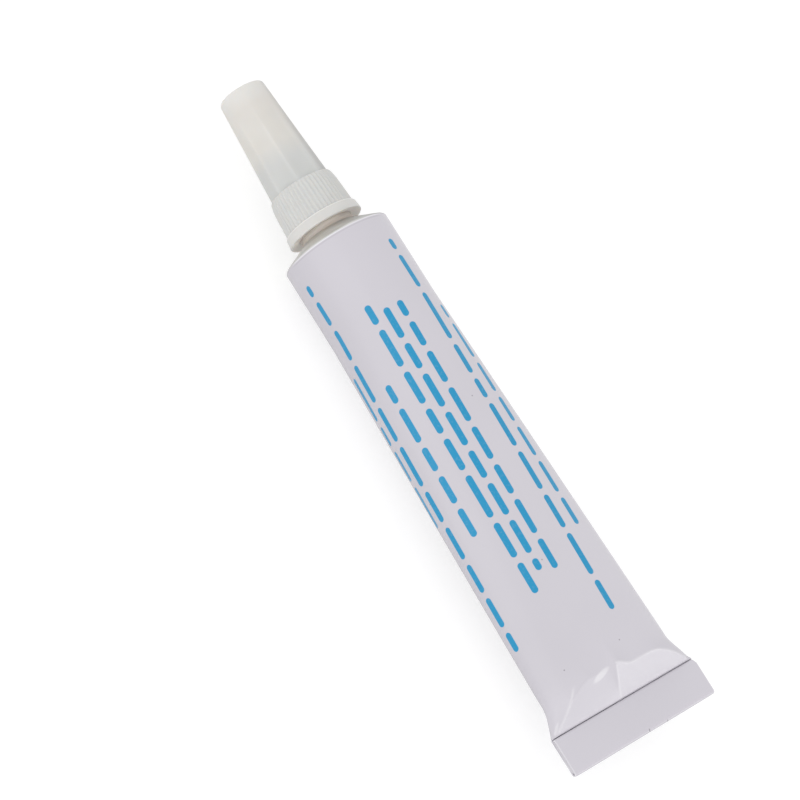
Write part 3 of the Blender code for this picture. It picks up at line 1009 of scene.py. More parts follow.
def reshape(shape: Shape, radius_of: Callable[[Array, Array, Array], Array]) -> None:
    """Move a turned skin in and out from the axis.

    Args:
        shape: The skin.
        radius_of: New radii from arrays of stations, angles from +Y towards +Z, and radii.
    """
    spots = np.array([vert.co for vert in shape.verts])
    turn = np.arctan2(spots[:, 2], spots[:, 1])
    radius = np.hypot(spots[:, 1], spots[:, 2])
    moved = radius_of(spots[:, 0], turn, radius)
    for vert, angle, reach in zip(shape.verts, turn, moved):
        vert.co.y = reach * math.cos(angle)
        vert.co.z = reach * math.sin(angle)


def round_ring(station: float, radius: float | Array, columns: int) -> Array:
    """A ring of points round the axis, from the back's centre line, with the first one repeated."""
    turns = np.linspace(-np.pi, np.pi, columns + 1)
    return np.stack([np.full_like(turns, station), radius * np.sin(turns), radius * np.cos(turns)], axis=1)


def smooth_min(first: Array, second: Array, blend: float) -> Array:
    """Lower of two values, rounded where they cross."""
    share = np.clip(0.5 + 0.5 * (second - first) / blend, 0.0, 1.0)
    return second + (first - second) * share - blend * share * (1 - share)


def smooth_step(low: float, high: float, value: Array) -> Array:
    """0 below the low value, 1 above the high one, and smooth between."""
    share = np.clip((value - low) / (high - low), 0.0, 1.0)
    return share * share * (3 - 2 * share)


def window(low: float, high: float, edge: float, value: Array) -> Array:
    """1 between two values, with an edge inside each of them that runs smoothly down to 0."""
    return smooth_step(low, low + edge, value) * smooth_step(high, high - edge, value)


def bell(distance: Array, width: float) -> Array:
    """1 at no distance, and smoothly down to 0 beyond a width."""
    return np.exp(-((distance / width) ** 2))


# The drawn metal tube and what it holds


@dataclass(frozen=True)
class Gleam:
    """A long painted highlight on the pressed front of the tail."""

    side: float
    height: float
    length: float
    width: float
    turn: float
    strength: float
    core: float = 0.6
    fringe: float = 1.2

    def share(self, across: Array, above: float) -> Array:
        """Strength of the gleam at places across the tube, some way above the strip.

        Args:
            across: Places across the tube.
            above: How far above the strip they are.

        Returns:
            The strengths.
        """
        side, rise = across - self.side, above - self.height
        along = side * math.cos(self.turn) + rise * math.sin(self.turn)
        aside = rise * math.cos(self.turn) - side * math.sin(self.turn)
        reach = np.hypot(along / self.length, aside / self.width)
        return self.strength * smooth_step(self.fringe, self.core, reach)


@dataclass(frozen=True)
class Sleeve:
    """Form of the sleeve: round at first, then flattening evenly, and pressed shut at the tail."""

    layout: Layout
    shell_wall: float = 0.15 * MM
    shoulder_wall: float = 0.8 * MM
    tail_half_depth: float = 4.7 * MM
    straight_length: float = 12.0 * MM
    closing_length: float = 4.5 * MM
    closing_power: float = 1.5
    cavity_toe: float = 0.12 * MM
    round_power: float = 2.0
    flat_power: float = 8.0
    hair: float = 0.001 * MM
    tail_lead: float = 1.5 * MM
    press_lead: float = 3.0 * MM
    press_start: float = 0.08 * MM
    wall_slant: float = 1.4
    facet_foot: float = 0.57 * MM
    crease_side: float = 0.5 * MM
    crease_slope: float = 1.0
    crease_round: float = 0.06 * MM
    crease_top: float = 4.2 * MM
    # Painted highlight along the crease between the facets.
    crease_highlight: float = 0.5
    crease_width: float = 0.13 * MM
    crease_shift: float = 0.1 * MM
    crease_fade: float = 0.4 * MM
    left_slope: float = 0.85
    left_reach: float = 0.9 * MM
    left_end: float = 12.4 * MM
    left_span: float = 5.15 * MM
    left_bow: float = 1.3
    left_round: float = 0.3 * MM
    right_top: float = 3.35 * MM
    right_far: float = -2.4 * MM
    right_near: float = 0.6 * MM
    right_level: float = 5.0 * MM
    right_drop: float = 71.0
    least_brow: float = 0.05 * MM
    rise_length: float = 5.0 * MM
    fold_width: float = 0.14 * MM
    # Painted highlight along the folds that bound the facets.
    fold_highlight: float = 0.8
    fold_probe: float = 0.02 * MM
    fold_foot: float = 0.15 * MM
    fold_full: float = 0.6 * MM
    fold_fade_start: float = 6.8 * MM
    fold_fade_full: float = 8.0 * MM
    ridge_height: float = 0.03 * MM
    gleams: tuple[Gleam, ...] = (
        Gleam(2.9 * MM, 3.8 * MM, 1.5 * MM, 0.42 * MM, math.radians(-15), 1.0),
        Gleam(11.5 * MM, 0.9 * MM, 0.95 * MM, 0.2 * MM, math.radians(-50), 0.6),
    )
    pinch_height: float = 2.8 * MM
    pinch_reach: float = 1.35 * MM
    left_pinch: float = 0.02
    right_pinch: float = 0.016
    top_skew: float = 0.35 * MM
    skew_reach: float = 6.0 * MM
    curve_steps: int = 1440
    halvings: int = 40

    @property
    def tail_start(self) -> float:
        """Station where the sleeve begins to shut."""
        return self.closing_length - self.layout.sleeve_length

    @property
    def cavity_end(self) -> float:
        """Station where the closing walls leave only a thin toe of the cavity."""
        shut = 1.0 - self.cavity_toe / (self.tail_half_depth - self.shell_wall)
        return self.tail_start - self.closing_length * shut ** (1 / self.closing_power)

    @property
    def girth(self) -> float:
        """Length round the sleeve, which is the same all along because metal doesn't stretch."""
        return 2 * math.pi * self.layout.sleeve_radius

    def above(self, station: float) -> float:
        """How far a station lies above the strip."""
        return station + self.layout.sleeve_length

    def half_depth(self, station: float) -> float:
        """Half the sleeve's depth at a station.

        Args:
            station: Where it is asked.

        Returns:
            Half the depth.
        """
        full = self.layout.sleeve_radius
        if station >= -self.straight_length:
            return full
        if station >= self.tail_start:
            share = (station + self.straight_length) / (self.tail_start + self.straight_length)
            return full + (self.tail_half_depth - full) * share
        share = ((self.tail_start - station) / self.closing_length) ** self.closing_power
        return self.tail_half_depth + (self.shell_wall - self.tail_half_depth) * share

    def squareness(self, half_depth: float) -> float:
        """How boxy the section is: an ellipse when full, a flat bar when pressed shut."""
        flat = 1.0 - min(1.0, half_depth / self.tail_half_depth)
        return self.round_power + (self.flat_power - self.round_power) * flat**3

    def curve(self, half_width: float, half_depth: float, power: float) -> tuple[Array, Array, Array]:
        """Dense section curve from the back's centre line round to itself.

        Args:
            half_width: Half the section's width.
            half_depth: Half its depth.
            power: How boxy it is.

        Returns:
            Y, Z and the running length.
        """
        turns = np.linspace(-np.pi, np.pi, self.curve_steps + 1)
        across, up = np.sin(turns), np.cos(turns)
        y = half_width * np.sign(across) * np.abs(across) ** (2 / power)
        z = half_depth * np.sign(up) * np.abs(up) ** (2 / power)
        length = np.concatenate([[0.0], np.cumsum(np.hypot(np.diff(y), np.diff(z)))])
        return y, z, length

    def half_width(self, half_depth: float) -> float:
        """Half width that keeps the sleeve's girth.

        Args:
            half_depth: Half the section's depth.

        Returns:
            Half its width.
        """
        power = self.squareness(half_depth)
        low, high = self.layout.sleeve_radius / 2, self.layout.sleeve_radius * math.pi / 2
        for _ in range(self.halvings):
            middle = (low + high) / 2
            if self.curve(middle, half_depth, power)[2][-1] < self.girth:
                low = middle
            else:
                high = middle
        return (low + high) / 2 - self.hair

    def section(self, half_depth: float, inset: float, columns: int) -> Array:
        """Points of a section, spaced evenly round it from the back's centre line.

        Args:
            half_depth: Half the section's depth.
            inset: How far it is drawn in from the outer face.
            columns: Points round it.

        Returns:
            The points (y, z), the first one repeated at the end.
        """
        wide, deep = self.half_width(half_depth) - inset, half_depth - inset
        y, z, length = self.curve(wide, deep, self.squareness(half_depth))
        marks = np.linspace(0.0, length[-1], columns + 1)
        return np.stack([np.interp(marks, length, y), np.interp(marks, length, z)], axis=1)

    def ring(self, station: float, inset: float, columns: int) -> Array:
        """A ring of the sleeve, with its front pressed into two facets above the strip.

        Args:
            station: Where the ring stands.
            inset: How far it is drawn in from the outer face.
            columns: Points round it.

        Returns:
            The ring's points, the first one repeated at the end.
        """
        across, up = self.section(self.half_depth(station), inset, columns).T
        place = np.full(columns + 1, station)
        if station < self.tail_start + self.press_lead:
            above = self.above(station)
            up = np.where(up > 0, self.pressed(station, across, up, inset), up)
            place = place + self.skew(across) * smooth_step(self.skew_reach, 0.0, above)
            waist = bell(above - self.pinch_height, self.pinch_reach)
            across = across * (1 - waist * np.where(across > 0, self.left_pinch, self.right_pinch))
        return np.stack([place, across, up], axis=1)

    def skew(self, across: Array) -> Array:
        """How far the fold's line drops towards the tube's left side."""
        return -self.top_skew * (0.5 + across / (self.layout.sleeve_radius * math.pi))

    def brow(self, across: Array) -> Array:
        """How far above the strip the two facets reach.

        Args:
            across: Places across the tube.

        Returns:
            The heights.
        """
        near = smooth_step(self.right_far, self.right_near, across)
        right = self.right_top + (self.crease_top - self.right_top) * near
        right = right - self.right_drop * np.maximum(-across - self.right_level, 0.0) ** 2
        tip = np.maximum((self.left_end - across) / self.left_span, 0.0) ** self.left_bow
        left = smooth_min(np.full_like(across, self.crease_top), self.crease_top * tip, self.left_round)
        return np.maximum(np.where(across > self.crease_side, left, right), self.least_brow)

    def slope(self, across: Array) -> Array:
        """How steep the facets are."""
        fall = np.exp(-np.maximum(across - self.crease_side, 0.0) / self.left_reach)
        return self.left_slope + (self.crease_slope - self.left_slope) * fall

    def facet(self, station: float, across: Array) -> Array:
        """Height of the two facets pressed into the front, which meet at a crease."""
        return self.facet_foot + self.slope(across) * self.above(station)

    def arch(self, station: float, across: Array, inset: float) -> Array:
        """Height of the sleeve's front, some way inside its outer face, if the tail were still open.

        Args:
            station: Where it is asked.
            across: Places across the tube.
            inset: How far the skin is drawn in from the outer face.

        Returns:
            The heights.
        """
        deep = self.half_depth(max(station, self.tail_start)) - inset
        wide = self.half_width(self.half_depth(station)) - inset
        return deep * np.sqrt(np.clip(1 - (across / wide) ** 2, 0.0, 1.0))

    def side(self, station: float, across: Array, inset: float = 0.0) -> Array:
        """Height of the front beyond the facets, rising from their edge to the open sleeve.

        Args:
            station: Where it is asked.
            across: Places across the tube.
            inset: How far the skin is drawn in from the outer face.

        Returns:
            The heights.
        """
        brow = self.brow(across)
        edge = self.facet_foot + self.slope(across) * brow - self.wall_slant * inset
        beyond = np.minimum((self.above(station) - brow) / self.rise_length, 1.0)
        return edge + (self.arch(station, across, inset) - edge) * (1 - (1 - beyond) ** 2)

    def slack(self, station: float, across: Array) -> Array:
        """How far the front beyond the facets would stand above them."""
        return self.side(station, across) - self.facet(station, across)

    def fold_line(self, station: float, across: Array) -> Array:
        """Share of the fold that bounds the facets, from 0 to 1, for its raised ridge and its painted
        highlight.

        Args:
            station: Where it is asked.
            across: Places across the tube.

        Returns:
            The shares.
        """
        slack = self.slack(station, across)
        along = self.slack(station + self.fold_probe, across) - slack
        aside = self.slack(station, across + self.fold_probe) - slack
        away = slack * self.fold_probe / (np.hypot(along, aside) + NOT_ZERO)
        far = smooth_step(self.fold_fade_start, self.fold_fade_full, across)
        folds_and_painted_light = np.where(across > self.crease_side, far, 1.0)
        shown = smooth_step(self.fold_foot, self.fold_full, self.above(station))
        return bell(away, self.fold_width) * folds_and_painted_light * shown

    def shine(self, station: float, columns: int) -> Array:
        """Where the pressed front gets painted highlights: along its folds and its crease, and in a few
        gleams.

        Args:
            station: Where the ring stands.
            columns: Points round it.

        Returns:
            A share from 0 to 1 for each point of the ring.
        """
        across, up = self.section(self.half_depth(station), 0.0, columns).T
        above = self.above(station)
        crease = bell(across - self.crease_side + self.crease_shift, self.crease_width)
        crease = crease * smooth_step(self.crease_top, self.crease_top - self.crease_fade, above)
        folds = self.fold_highlight * self.fold_line(station, across)
        share = np.maximum(folds, self.crease_highlight * crease)
        for gleam in self.gleams:
            share = np.maximum(share, gleam.share(across, above))
        return np.where(up > 0, share, 0.0)

    def pressed(self, station: float, across: Array, up: Array, inset: float) -> Array:
        """Front of the sleeve just above the strip, pressed into two facets with a raised edge.

        Args:
            station: Where the ring stands.
            across: The ring's places across the tube.
            up: Its heights before pressing.
            inset: How far it is drawn in from the outer face.

        Returns:
            The heights after pressing.
        """
        facet = np.maximum(self.facet(station, across) - self.wall_slant * inset, 0.0)
        height = smooth_min(self.side(station, across, inset), facet, self.crease_round)
        if inset == 0:
            height = height + self.ridge_height * self.fold_line(station, across)
        height = np.minimum(height, self.arch(station, across, inset))
        return up + (height - up) * smooth_step(0.0, self.press_start, self.above(station))

    def stations(self, start: float, end: float, body_steps: int, tail_steps: int) -> Array:
        """Stations down the sleeve, closer together where the tail shuts.

        Args:
            start: The first station.
            end: The last one.
            body_steps: Stations down to the tail.
            tail_steps: Stations down the tail.

        Returns:
            All the stations.
        """
        lead = self.tail_start + self.tail_lead
        body = np.linspace(-self.straight_length, lead, body_steps)
        return np.concatenate([[start], body, np.linspace(lead, end, tail_steps + 1)[1:]])

    def inner_shoulder(self, radius: float, wall: float) -> float:
        """Station of the shoulder's inner face at a radius."""
        under = self.layout.rim_top - wall / math.cos(self.layout.shoulder_slope)
        return under + (self.layout.rim_inner - radius) * math.tan(self.layout.shoulder_slope)


def wrapped(
    rows: Sequence[Array], columns: int, across: float, painted_highlight: Sequence[Array] | None = None
) -> tuple[Shape, Array]:
    """Wrap a grid through rings of points, close its seam and fill its two ends.

    Args:
        rows: The rings, each with its first point repeated at the end.
        columns: Points round a ring.
        across: Length round the skin, for the surface map.
        painted_highlight: A painted highlight share for each point, if there is any.

    Returns:
        The skin, with a surface map in metres, and the running length of each ring from the first one.
    """
    shape = bmesh.new()
    layer = shape.loops.layers.uv.new(SURFACE_MAP)
    shares = shape.verts.layers.float.new(HIGHLIGHT_MAP)
    bmesh.ops.create_grid(shape, x_segments=columns, y_segments=len(rows) - 1, size=0.5)
    middle = columns // 2
    steps = [np.linalg.norm(second[middle] - first[middle]) for first, second in zip(rows, rows[1:])]
    length = np.concatenate([[0.0], np.cumsum(steps)])
    marks: dict[bmesh.types.BMVert, Point] = {}
    seam = []
    for vert in shape.verts:
        column = round((vert.co.x + 0.5) * columns)
        row = round((vert.co.y + 0.5) * (len(rows) - 1))
        vert.co = rows[row][column]
        marks[vert] = (length[row], (column / columns - 0.5) * across)
        vert[shares] = painted_highlight[row][column] if painted_highlight is not None else 0.0
        if column in (0, columns):
            seam.append(vert)
    for face in shape.faces:
        for corner in face.loops:
            corner[layer].uv = marks[corner.vert]
    bmesh.ops.remove_doubles(shape, verts=seam, dist=SEAM_REACH)
    rims = [edge for edge in shape.edges if edge.is_boundary]
    bmesh.ops.holes_fill(shape, edges=rims, sides=0)
    return shape, length


@dataclass(frozen=True)
class DrawnTube(Part):
    """Sleeve, shoulder, threaded neck and the tail folded over twice: one piece of thin metal."""

    title = "drawn_tube"
    node = "tube_shell"
    body = Body.TUBE
    slot = Slot.ENAMEL

    sleeve: Sleeve
    neck_chamfer: float = 0.3 * MM
    thread_height: float = 0.17 * MM
    thread_start: float = 0.3 * MM
    thread_run_out: float = 0.6 * MM
    fold_gap: float = 0.06 * MM
    strip_skew: float = 0.5 * MM
    corner_cut: float = 0.35 * MM
    corner_reach: float = 0.8 * MM
    strip_edge_highlight: float = 0.7
    rim_round: float = 0.25 * MM
    rim_coat: float = 0.25 * MM
    neck_step: float = 0.28 * MM
    step_height: float = 0.95 * MM
    step_round: float = 0.15 * MM
    root_chamfer: float = 0.1 * MM
    root_slack: float = 0.02 * MM
    foot_height: float = 1.4 * MM
    columns: int = 352
    cavity_rows: tuple[int, int] = (6, 12)
    sleeve_rows: tuple[int, int] = (26, 56)
    neck_rows: int = 48
    cone_rows: int = 10
    rim_rows: int = 8
    bend_rows: int = 10
    flap_rows: int = 10

    @property
    def root(self) -> Point:
        """Station and radius where the neck's foot meets the shoulder."""
        size, out = self.layout, self.neck_step + self.root_chamfer
        return size.shoulder_height - out * math.tan(size.shoulder_slope), size.neck_radius + out

    @property
    def rim_rise(self) -> float:
        """Station where the sleeve ends in its small round on the shoulder's cone."""
        slope = self.layout.shoulder_slope
        return (self.layout.rim_round - self.rim_round) * (1 - math.sin(slope)) / math.cos(slope)

    def neck_ring(self, station: float) -> Array:
        """A ring of the neck, with its share of the thread.

        Args:
            station: Where the ring stands.

        Returns:
            The ring's points, the first one repeated at the end.
        """
        size = self.layout
        low, high = size.shoulder_height, size.neck_top - self.neck_chamfer
        height = self.thread_height * window(low + self.thread_start, high, self.thread_run_out, station)
        turns = np.linspace(-np.pi, np.pi, self.columns + 1)
        crest = size.thread(np.full_like(turns, station), np.pi / 2 - turns)
        top = low + self.step_height
        step = self.neck_step * smooth_step(top, top - self.step_round, station)
        return round_ring(station, size.neck_radius + np.maximum(height * crest, step), self.columns)

    def fold_rings(self) -> list[Array]:
        """Rings of the doubled sheet: down the back, up the front flap and down again inside it.

        Returns:
            The rings.
        """
        sheet = 2 * self.sleeve.shell_wall
        pitch = sheet + self.fold_gap
        half = pitch / 2
        bottom = self.layout.tail_end + pitch + sheet / 2 + 2 * self.sleeve.hair
        top = -self.layout.sleeve_length - half - sheet / 2
        headings = np.radians(np.linspace(0.0, 180.0, self.bend_rows + 1))
        path = [(bottom - pitch * math.sin(h), pitch - pitch * math.cos(h), h) for h in headings]
        path += [(x, 2 * pitch, math.pi) for x in np.linspace(bottom, top, self.flap_rows + 1)[1:-1]]
        path += [(top + half * math.sin(h), 3 * half + half * math.cos(h), h + math.pi) for h in headings]
        path.append((bottom + self.fold_gap, pitch, 2 * math.pi))
        across, thick = self.sleeve.section(self.sleeve.shell_wall, 0.0, self.columns).T
        raised = self.strip_skew * (0.5 - across / (2 * across.max()))
        rings = []
        for x, z, turn in path:
            down = np.clip(-self.sleeve.above(x) / self.layout.strip_height, 0.0, 1.0)
            lean = self.sleeve.skew(across) * (1 - down) + raised * down
            station = x + thick * math.sin(turn) + lean
            cut = self.corner_cut * smooth_step(self.corner_reach, 0.0, down * self.layout.strip_height)
            inward = np.where(across < 0, cut if z > pitch else 0.0, 0.0)
            aside = across * (1 - inward / across.max())
            rings.append(np.stack([station, aside, z + thick * math.cos(turn)], axis=1))
        return rings

    def rows(self) -> tuple[list[Array], int]:
        """All rings of the skin, from the toe of the cavity out through the neck to the folded edge.

        Returns:
            The rings, and the number of the one at the rim.
        """
        size, sleeve = self.layout, self.sleeve
        wall, chamfer = sleeve.shell_wall, self.neck_chamfer
        inner_rim = sleeve.inner_shoulder(size.sleeve_radius - wall, sleeve.shoulder_wall)
        inner = sleeve.stations(inner_rim, sleeve.cavity_end, *self.cavity_rows)
        rows = [sleeve.ring(x, wall, self.columns) for x in inner[::-1]]
        bore = [
            (sleeve.inner_shoulder(size.neck_bore, sleeve.shoulder_wall), size.neck_bore),
            (size.neck_top - chamfer / 2, size.neck_bore),
            (size.neck_top, size.neck_bore + chamfer / 2),
            (size.neck_top, size.neck_radius - chamfer),
        ]
        rows += [round_ring(x, r, self.columns) for x, r in bore]
        neck = np.linspace(size.neck_top - chamfer, size.shoulder_height + self.root_chamfer, self.neck_rows)
        rows += [self.neck_ring(x) for x in neck]
        corner = (self.rim_rise, size.sleeve_radius - self.rim_round)
        edge = arc(corner, self.rim_round, math.degrees(size.shoulder_slope), 90, self.rim_rows)
        cone = run(self.root, edge[0], self.cone_rows) + edge
        rows += [round_ring(x, r, self.columns) for x, r in cone]
        rim = len(rows)
        rows += [sleeve.ring(x, 0.0, self.columns) for x in self.outer_stations()]
        return rows + self.fold_rings(), rim

    def outer_stations(self) -> Array:
        """Stations of the sleeve's outer rings, from the rim to the strip."""
        return self.sleeve.stations(0.0, -self.layout.sleeve_length, *self.sleeve_rows)

    def painted_highlight(self, count: int, rim: int) -> Array:
        """Painted highlight shares of all the rings: some on the pressed tail, and some on the strip's side
        edges.

        Args:
            count: How many rings there are.
            rim: Number of the ring at the rim.

        Returns:
            A row of shares for each ring.
        """
        shares = np.zeros((count, self.columns + 1))
        stations = self.outer_stations()
        for number, station in enumerate(stations, start=rim):
            if station < self.sleeve.tail_start + self.sleeve.tail_lead:
                shares[number] = self.sleeve.shine(station, self.columns)
        # Painted highlights along the strip's two side edges.
        for side in (self.columns // 4, 3 * self.columns // 4):
            shares[rim + len(stations) :, side - 1 : side + 2] = self.strip_edge_highlight
        return shares

    def shape(self) -> Shape:
        """Wrap the rings, and part the skin into its coats."""
        rows, rim = self.rows()
        shape, length = wrapped(rows, self.columns, self.sleeve.girth, self.painted_highlight(len(rows), rim))
        layer = shape.loops.layers.uv[SURFACE_MAP]
        edge = length[rim]
        foot = self.root[0] - self.root_slack
        for face in shape.faces:
            places = [corner[layer].uv.x for corner in face.loops]
            coat = Coat.ENAMEL if sum(places) / len(places) > edge - self.rim_coat else Coat.BARE
            # The neck's foot under the collar gets the darker, warmer copy of the metal: painted shade,
            # tinted by light through the plastic.
            if coat is Coat.BARE and foot < face.calc_center_median().x < foot + self.foot_height:
                coat = Coat.NECK
            face.material_index = coat
            for corner in face.loops:
                corner[layer].uv.x = edge - corner[layer].uv.x
        return shape

    def finishes(self, axis: Axis) -> list[Finish]:
        """Enamel on the sleeve, bare metal with painted shade on the shoulder, and a darker, warmer copy of
        the metal on the neck's foot, as painted shade and warmer light under the collar.
        """
        return [Enamel(), BareMetal(painted_shade=0.9), BareMetal("dull aluminium", (0.765, 0.715, 0.67), 0.55)]


@dataclass(frozen=True)
class GlueFilling(Part):
    """Glue lying in the tube, level across the top, with a column standing in the neck."""

    title = "glue_filling"
    node = "adhesive_fill"
    body = Body.TUBE
    slot = Slot.GLUE

    sleeve: Sleeve
    clearance: float = 0.3 * MM
    level: float = 2.4 * MM
    seal_height: float = 1.1 * MM
    columns: int = 96
    rows: tuple[int, int] = (14, 12)

    def shape(self) -> Shape:
        """Fill the cavity, and cut the filling off at its level."""
        size, sleeve = self.layout, self.sleeve
        inset = sleeve.shell_wall + self.clearance
        wall = sleeve.shoulder_wall + self.clearance
        column = size.neck_bore - self.clearance
        toe = sleeve.cavity_end + self.seal_height + 2 * self.clearance
        start = sleeve.inner_shoulder(size.sleeve_radius - inset, wall)
        ends = (size.plug_bottom - self.clearance, sleeve.inner_shoulder(column, wall))
        rings = [round_ring(x, column, self.columns) for x in ends]
        rings += [sleeve.ring(x, inset, self.columns) for x in sleeve.stations(start, toe, *self.rows)]
        shape, _ = wrapped(rings, self.columns, sleeve.girth)
        cut = bmesh.ops.bisect_plane(
            shape,
            geom=[*shape.verts, *shape.edges, *shape.faces],
            plane_co=(0.0, 0.0, self.level),
            plane_no=(0.0, 0.0, 1.0),
            clear_outer=True,
        )
        brink = [item for item in cut["geom_cut"] if isinstance(item, bmesh.types.BMEdge)]
        bmesh.ops.edgeloop_fill(shape, edges=brink)
        return shape

    def finishes(self, axis: Axis) -> list[Finish]:
        """Clear glue."""
        return [ClearGlue()]


@dataclass(frozen=True)
class LatexBead(Part):
    """Bead of dried latex along the toe of the cavity, which seals the fold from inside."""

    title = "latex_bead"
    node = "tail_seal"
    body = Body.TUBE
    slot = Slot.LATEX

    sleeve: Sleeve
    height: float = 1.1 * MM
    clearance: float = 0.1 * MM
    toe_gap: float = 0.3 * MM
    columns: int = 160
    rows: int = 8

    def shape(self) -> Shape:
        """Wrap the bead through rings of the cavity."""
        toe = self.sleeve.cavity_end + self.toe_gap
        inset = self.sleeve.shell_wall + self.clearance
        stations = np.linspace(toe, toe + self.height, self.rows)
        rings = [self.sleeve.ring(x, inset, self.columns) for x in stations]
        return wrapped(rings, self.columns, self.sleeve.girth)[0]

    def finishes(self, axis: Axis) -> list[Finish]:
        """Dried latex."""
        return [Latex()]


# The screw nozzle, its needle and the cap


@dataclass(frozen=True)
class ScrewNozzle(TurnedPart):
    """Nozzle moulding: fluted grip and flange outside, threaded bore, plug, spigot and cone inside."""

    title = "screw_nozzle"
    node = "nozzle_collar"
    body = Body.COLLAR
    slot = Slot.WHITE_PLASTIC
    crease = math.radians(45)

    wall: float = 1.2 * MM
    dish: float = 0.3 * MM
    flange_height: float = 1.6 * MM
    flange_overhang: float = 0.4 * MM
    flange_round: float = 0.2 * MM
    flange_flare: float = math.radians(7)
    brow: float = 0.2 * MM
    brow_bends: tuple[Point, ...] = ((0.6, 0.8), (0.2, 0.3))
    brow_highlight_part: float = 0.5
    flute_count: int = 50
    flute_depth: float = 0.13 * MM
    flute_turn: float = math.radians(1.0)
    flute_fall: float = 0.3
    seat_ledge: float = 0.12 * MM
    crown_height: float = 1.6 * MM
    crown_drop: float = 0.4 * MM
    spigot_chamfer: float = 0.3 * MM
    cone_base: float = 2.2 * MM
    cone_height: float = 3.0 * MM
    cone_tip_wall: float = 0.4 * MM
    plug_wall: float = 0.7 * MM
    small_chamfer: float = 0.1 * MM
    thread_height: float = 0.1 * MM
    thread_foot: float = 0.1 * MM
    thread_head: float = 0.2 * MM
    thread_run_out: float = 0.5 * MM
    skin: float = 0.01 * MM
    steps: int = 400
    grip_rows: int = 14
    crown_rows: int = 12
    round_rows: int = 10
    bore_rows: int = 44
    chamfer_rows: int = 5
    # Painted light: a lighter, warmer copy of the plastic on the flange's underside, for light coming
    # through it.
    underside_light_tone: Colour = (0.95, 0.90, 0.85)
    # Painted highlight along the flange's top edge.
    brow_highlight_tone: Colour = (0.86, 0.855, 0.84)
    gloss: float = 0.4

    @property
    def grip_radius(self) -> float:
        """Radius of the fluted grip at its foot."""
        return self.layout.collar_bore + self.wall

    @property
    def ledge(self) -> float:
        """Station where the flange ends and the flutes begin."""
        return self.layout.collar_bottom + self.flange_height

    @property
    def seat_radius(self) -> float:
        """Radius of the seat that the cap's foot stands on."""
        return self.layout.cap_foot_radius + self.seat_ledge

    def outside(self) -> Profile:
        """Profile of the outer face, from the underside up to the cap's seat.

        Returns:
            The points as (station, radius).
        """
        top, grip, ease = self.layout.cap_seat, self.grip_radius, self.flange_round
        flange = grip + self.flange_overhang
        crown = self.seat_radius + self.crown_drop
        corner = (self.layout.collar_bottom + ease, flange - ease)
        profile = arc(corner, ease, 180, 90 - math.degrees(self.flange_flare), self.round_rows)
        flare = (self.flange_height - ease - self.brow) * math.tan(self.flange_flare)
        profile.append((self.ledge - self.brow, flange - flare))
        rise = flange - flare - grip
        profile += [(self.ledge - down * self.brow, grip + out * rise) for down, out in self.brow_bends]
        profile += run((self.ledge, grip), (top - self.crown_height, crown), self.grip_rows)
        for share in np.linspace(1.0, 0.0, self.crown_rows + 1):
            drop = self.crown_drop * (1 - math.sqrt(share))
            profile.append((top - self.crown_height * share, crown - drop))
        return profile

    def inside(self) -> Profile:
        """Profile of the rest: cap seat, spigot, cone, needle hole, plug and threaded bore.

        Returns:
            The points as (station, radius).
        """
        size, cut, ease = self.layout, self.small_chamfer, self.spigot_chamfer
        spigot = size.cap_bore - size.cap_clearance
        spigot_top = size.cap_seat + size.spigot_height
        cone_top = spigot_top + self.cone_height
        cone_tip = size.needle_hole + self.cone_tip_wall
        plug_bore = size.plug_radius - self.plug_wall
        profile = [(size.cap_seat, spigot)]
        profile += arc((spigot_top - ease, spigot - ease), ease, 90, 0, self.chamfer_rows)
        profile += [
            (spigot_top, self.cone_base + cut),
            (spigot_top + cut, self.cone_base),
            (cone_top - cut, cone_tip),
            (cone_top, cone_tip - cut),
            (cone_top, size.needle_hole),
            (size.ledge_top, size.needle_hole),
            (size.ledge_top, size.needle_bore),
            (size.roof_underside + size.funnel_depth, size.needle_bore),
            (size.roof_underside, plug_bore),
            (size.plug_bottom, plug_bore),
            (size.plug_bottom, size.plug_radius - cut),
            (size.plug_bottom + cut, size.plug_radius),
            (size.roof_underside, size.plug_radius),
        ]
        bore_foot = (size.collar_bottom + self.dish, size.collar_bore)
        profile += run((size.roof_underside, size.collar_bore), bore_foot, self.bore_rows)
        return profile + [bore_foot]

    def profile(self) -> Profile:
        """Points of the whole section, outside and inside."""
        return self.outside() + self.inside()

    def zone(self, spot: Vector) -> Zone:
        """Which part of the moulding a place on its skin belongs to.

        Args:
            spot: The place.

        Returns:
            Its zone.
        """
        radius = math.hypot(spot.y, spot.z)
        rim = self.grip_radius + self.flange_overhang - self.flange_round
        if spot.x < self.layout.collar_bottom + self.dish and radius < rim:
            return Zone.UNDERSIDE
        # The flange's top edge, on the outer part of its brow, gets the painted highlight.
        lit_brow = self.ledge - self.brow < spot.x < self.ledge - self.brow_highlight_part * self.brow
        return Zone.EDGE if lit_brow and radius > self.grip_radius else Zone.BODY

    def worked(self, station: Array, turn: Array, radius: Array) -> Array:
        """Radii with the flutes cut outside and the thread raised inside."""
        size, top = self.layout, self.layout.cap_seat
        outer = (radius > self.seat_radius - self.skin) & (station > self.ledge - self.skin)
        wave = 0.5 - 0.5 * np.cos(self.flute_count * (turn - self.flute_turn))
        fall = 1 - self.flute_fall * smooth_step(top - self.crown_height, top, station)
        bore = np.abs(radius - size.collar_bore) < 2 * self.skin
        low = size.collar_bottom + self.dish + self.thread_foot
        fade = window(low, size.roof_underside - self.thread_head, self.thread_run_out, station)
        ridge = self.thread_height * fade * size.thread(station, turn + np.pi)
        return radius - np.where(outer, self.flute_depth * fall * wave, 0.0) - np.where(bore, ridge, 0.0)

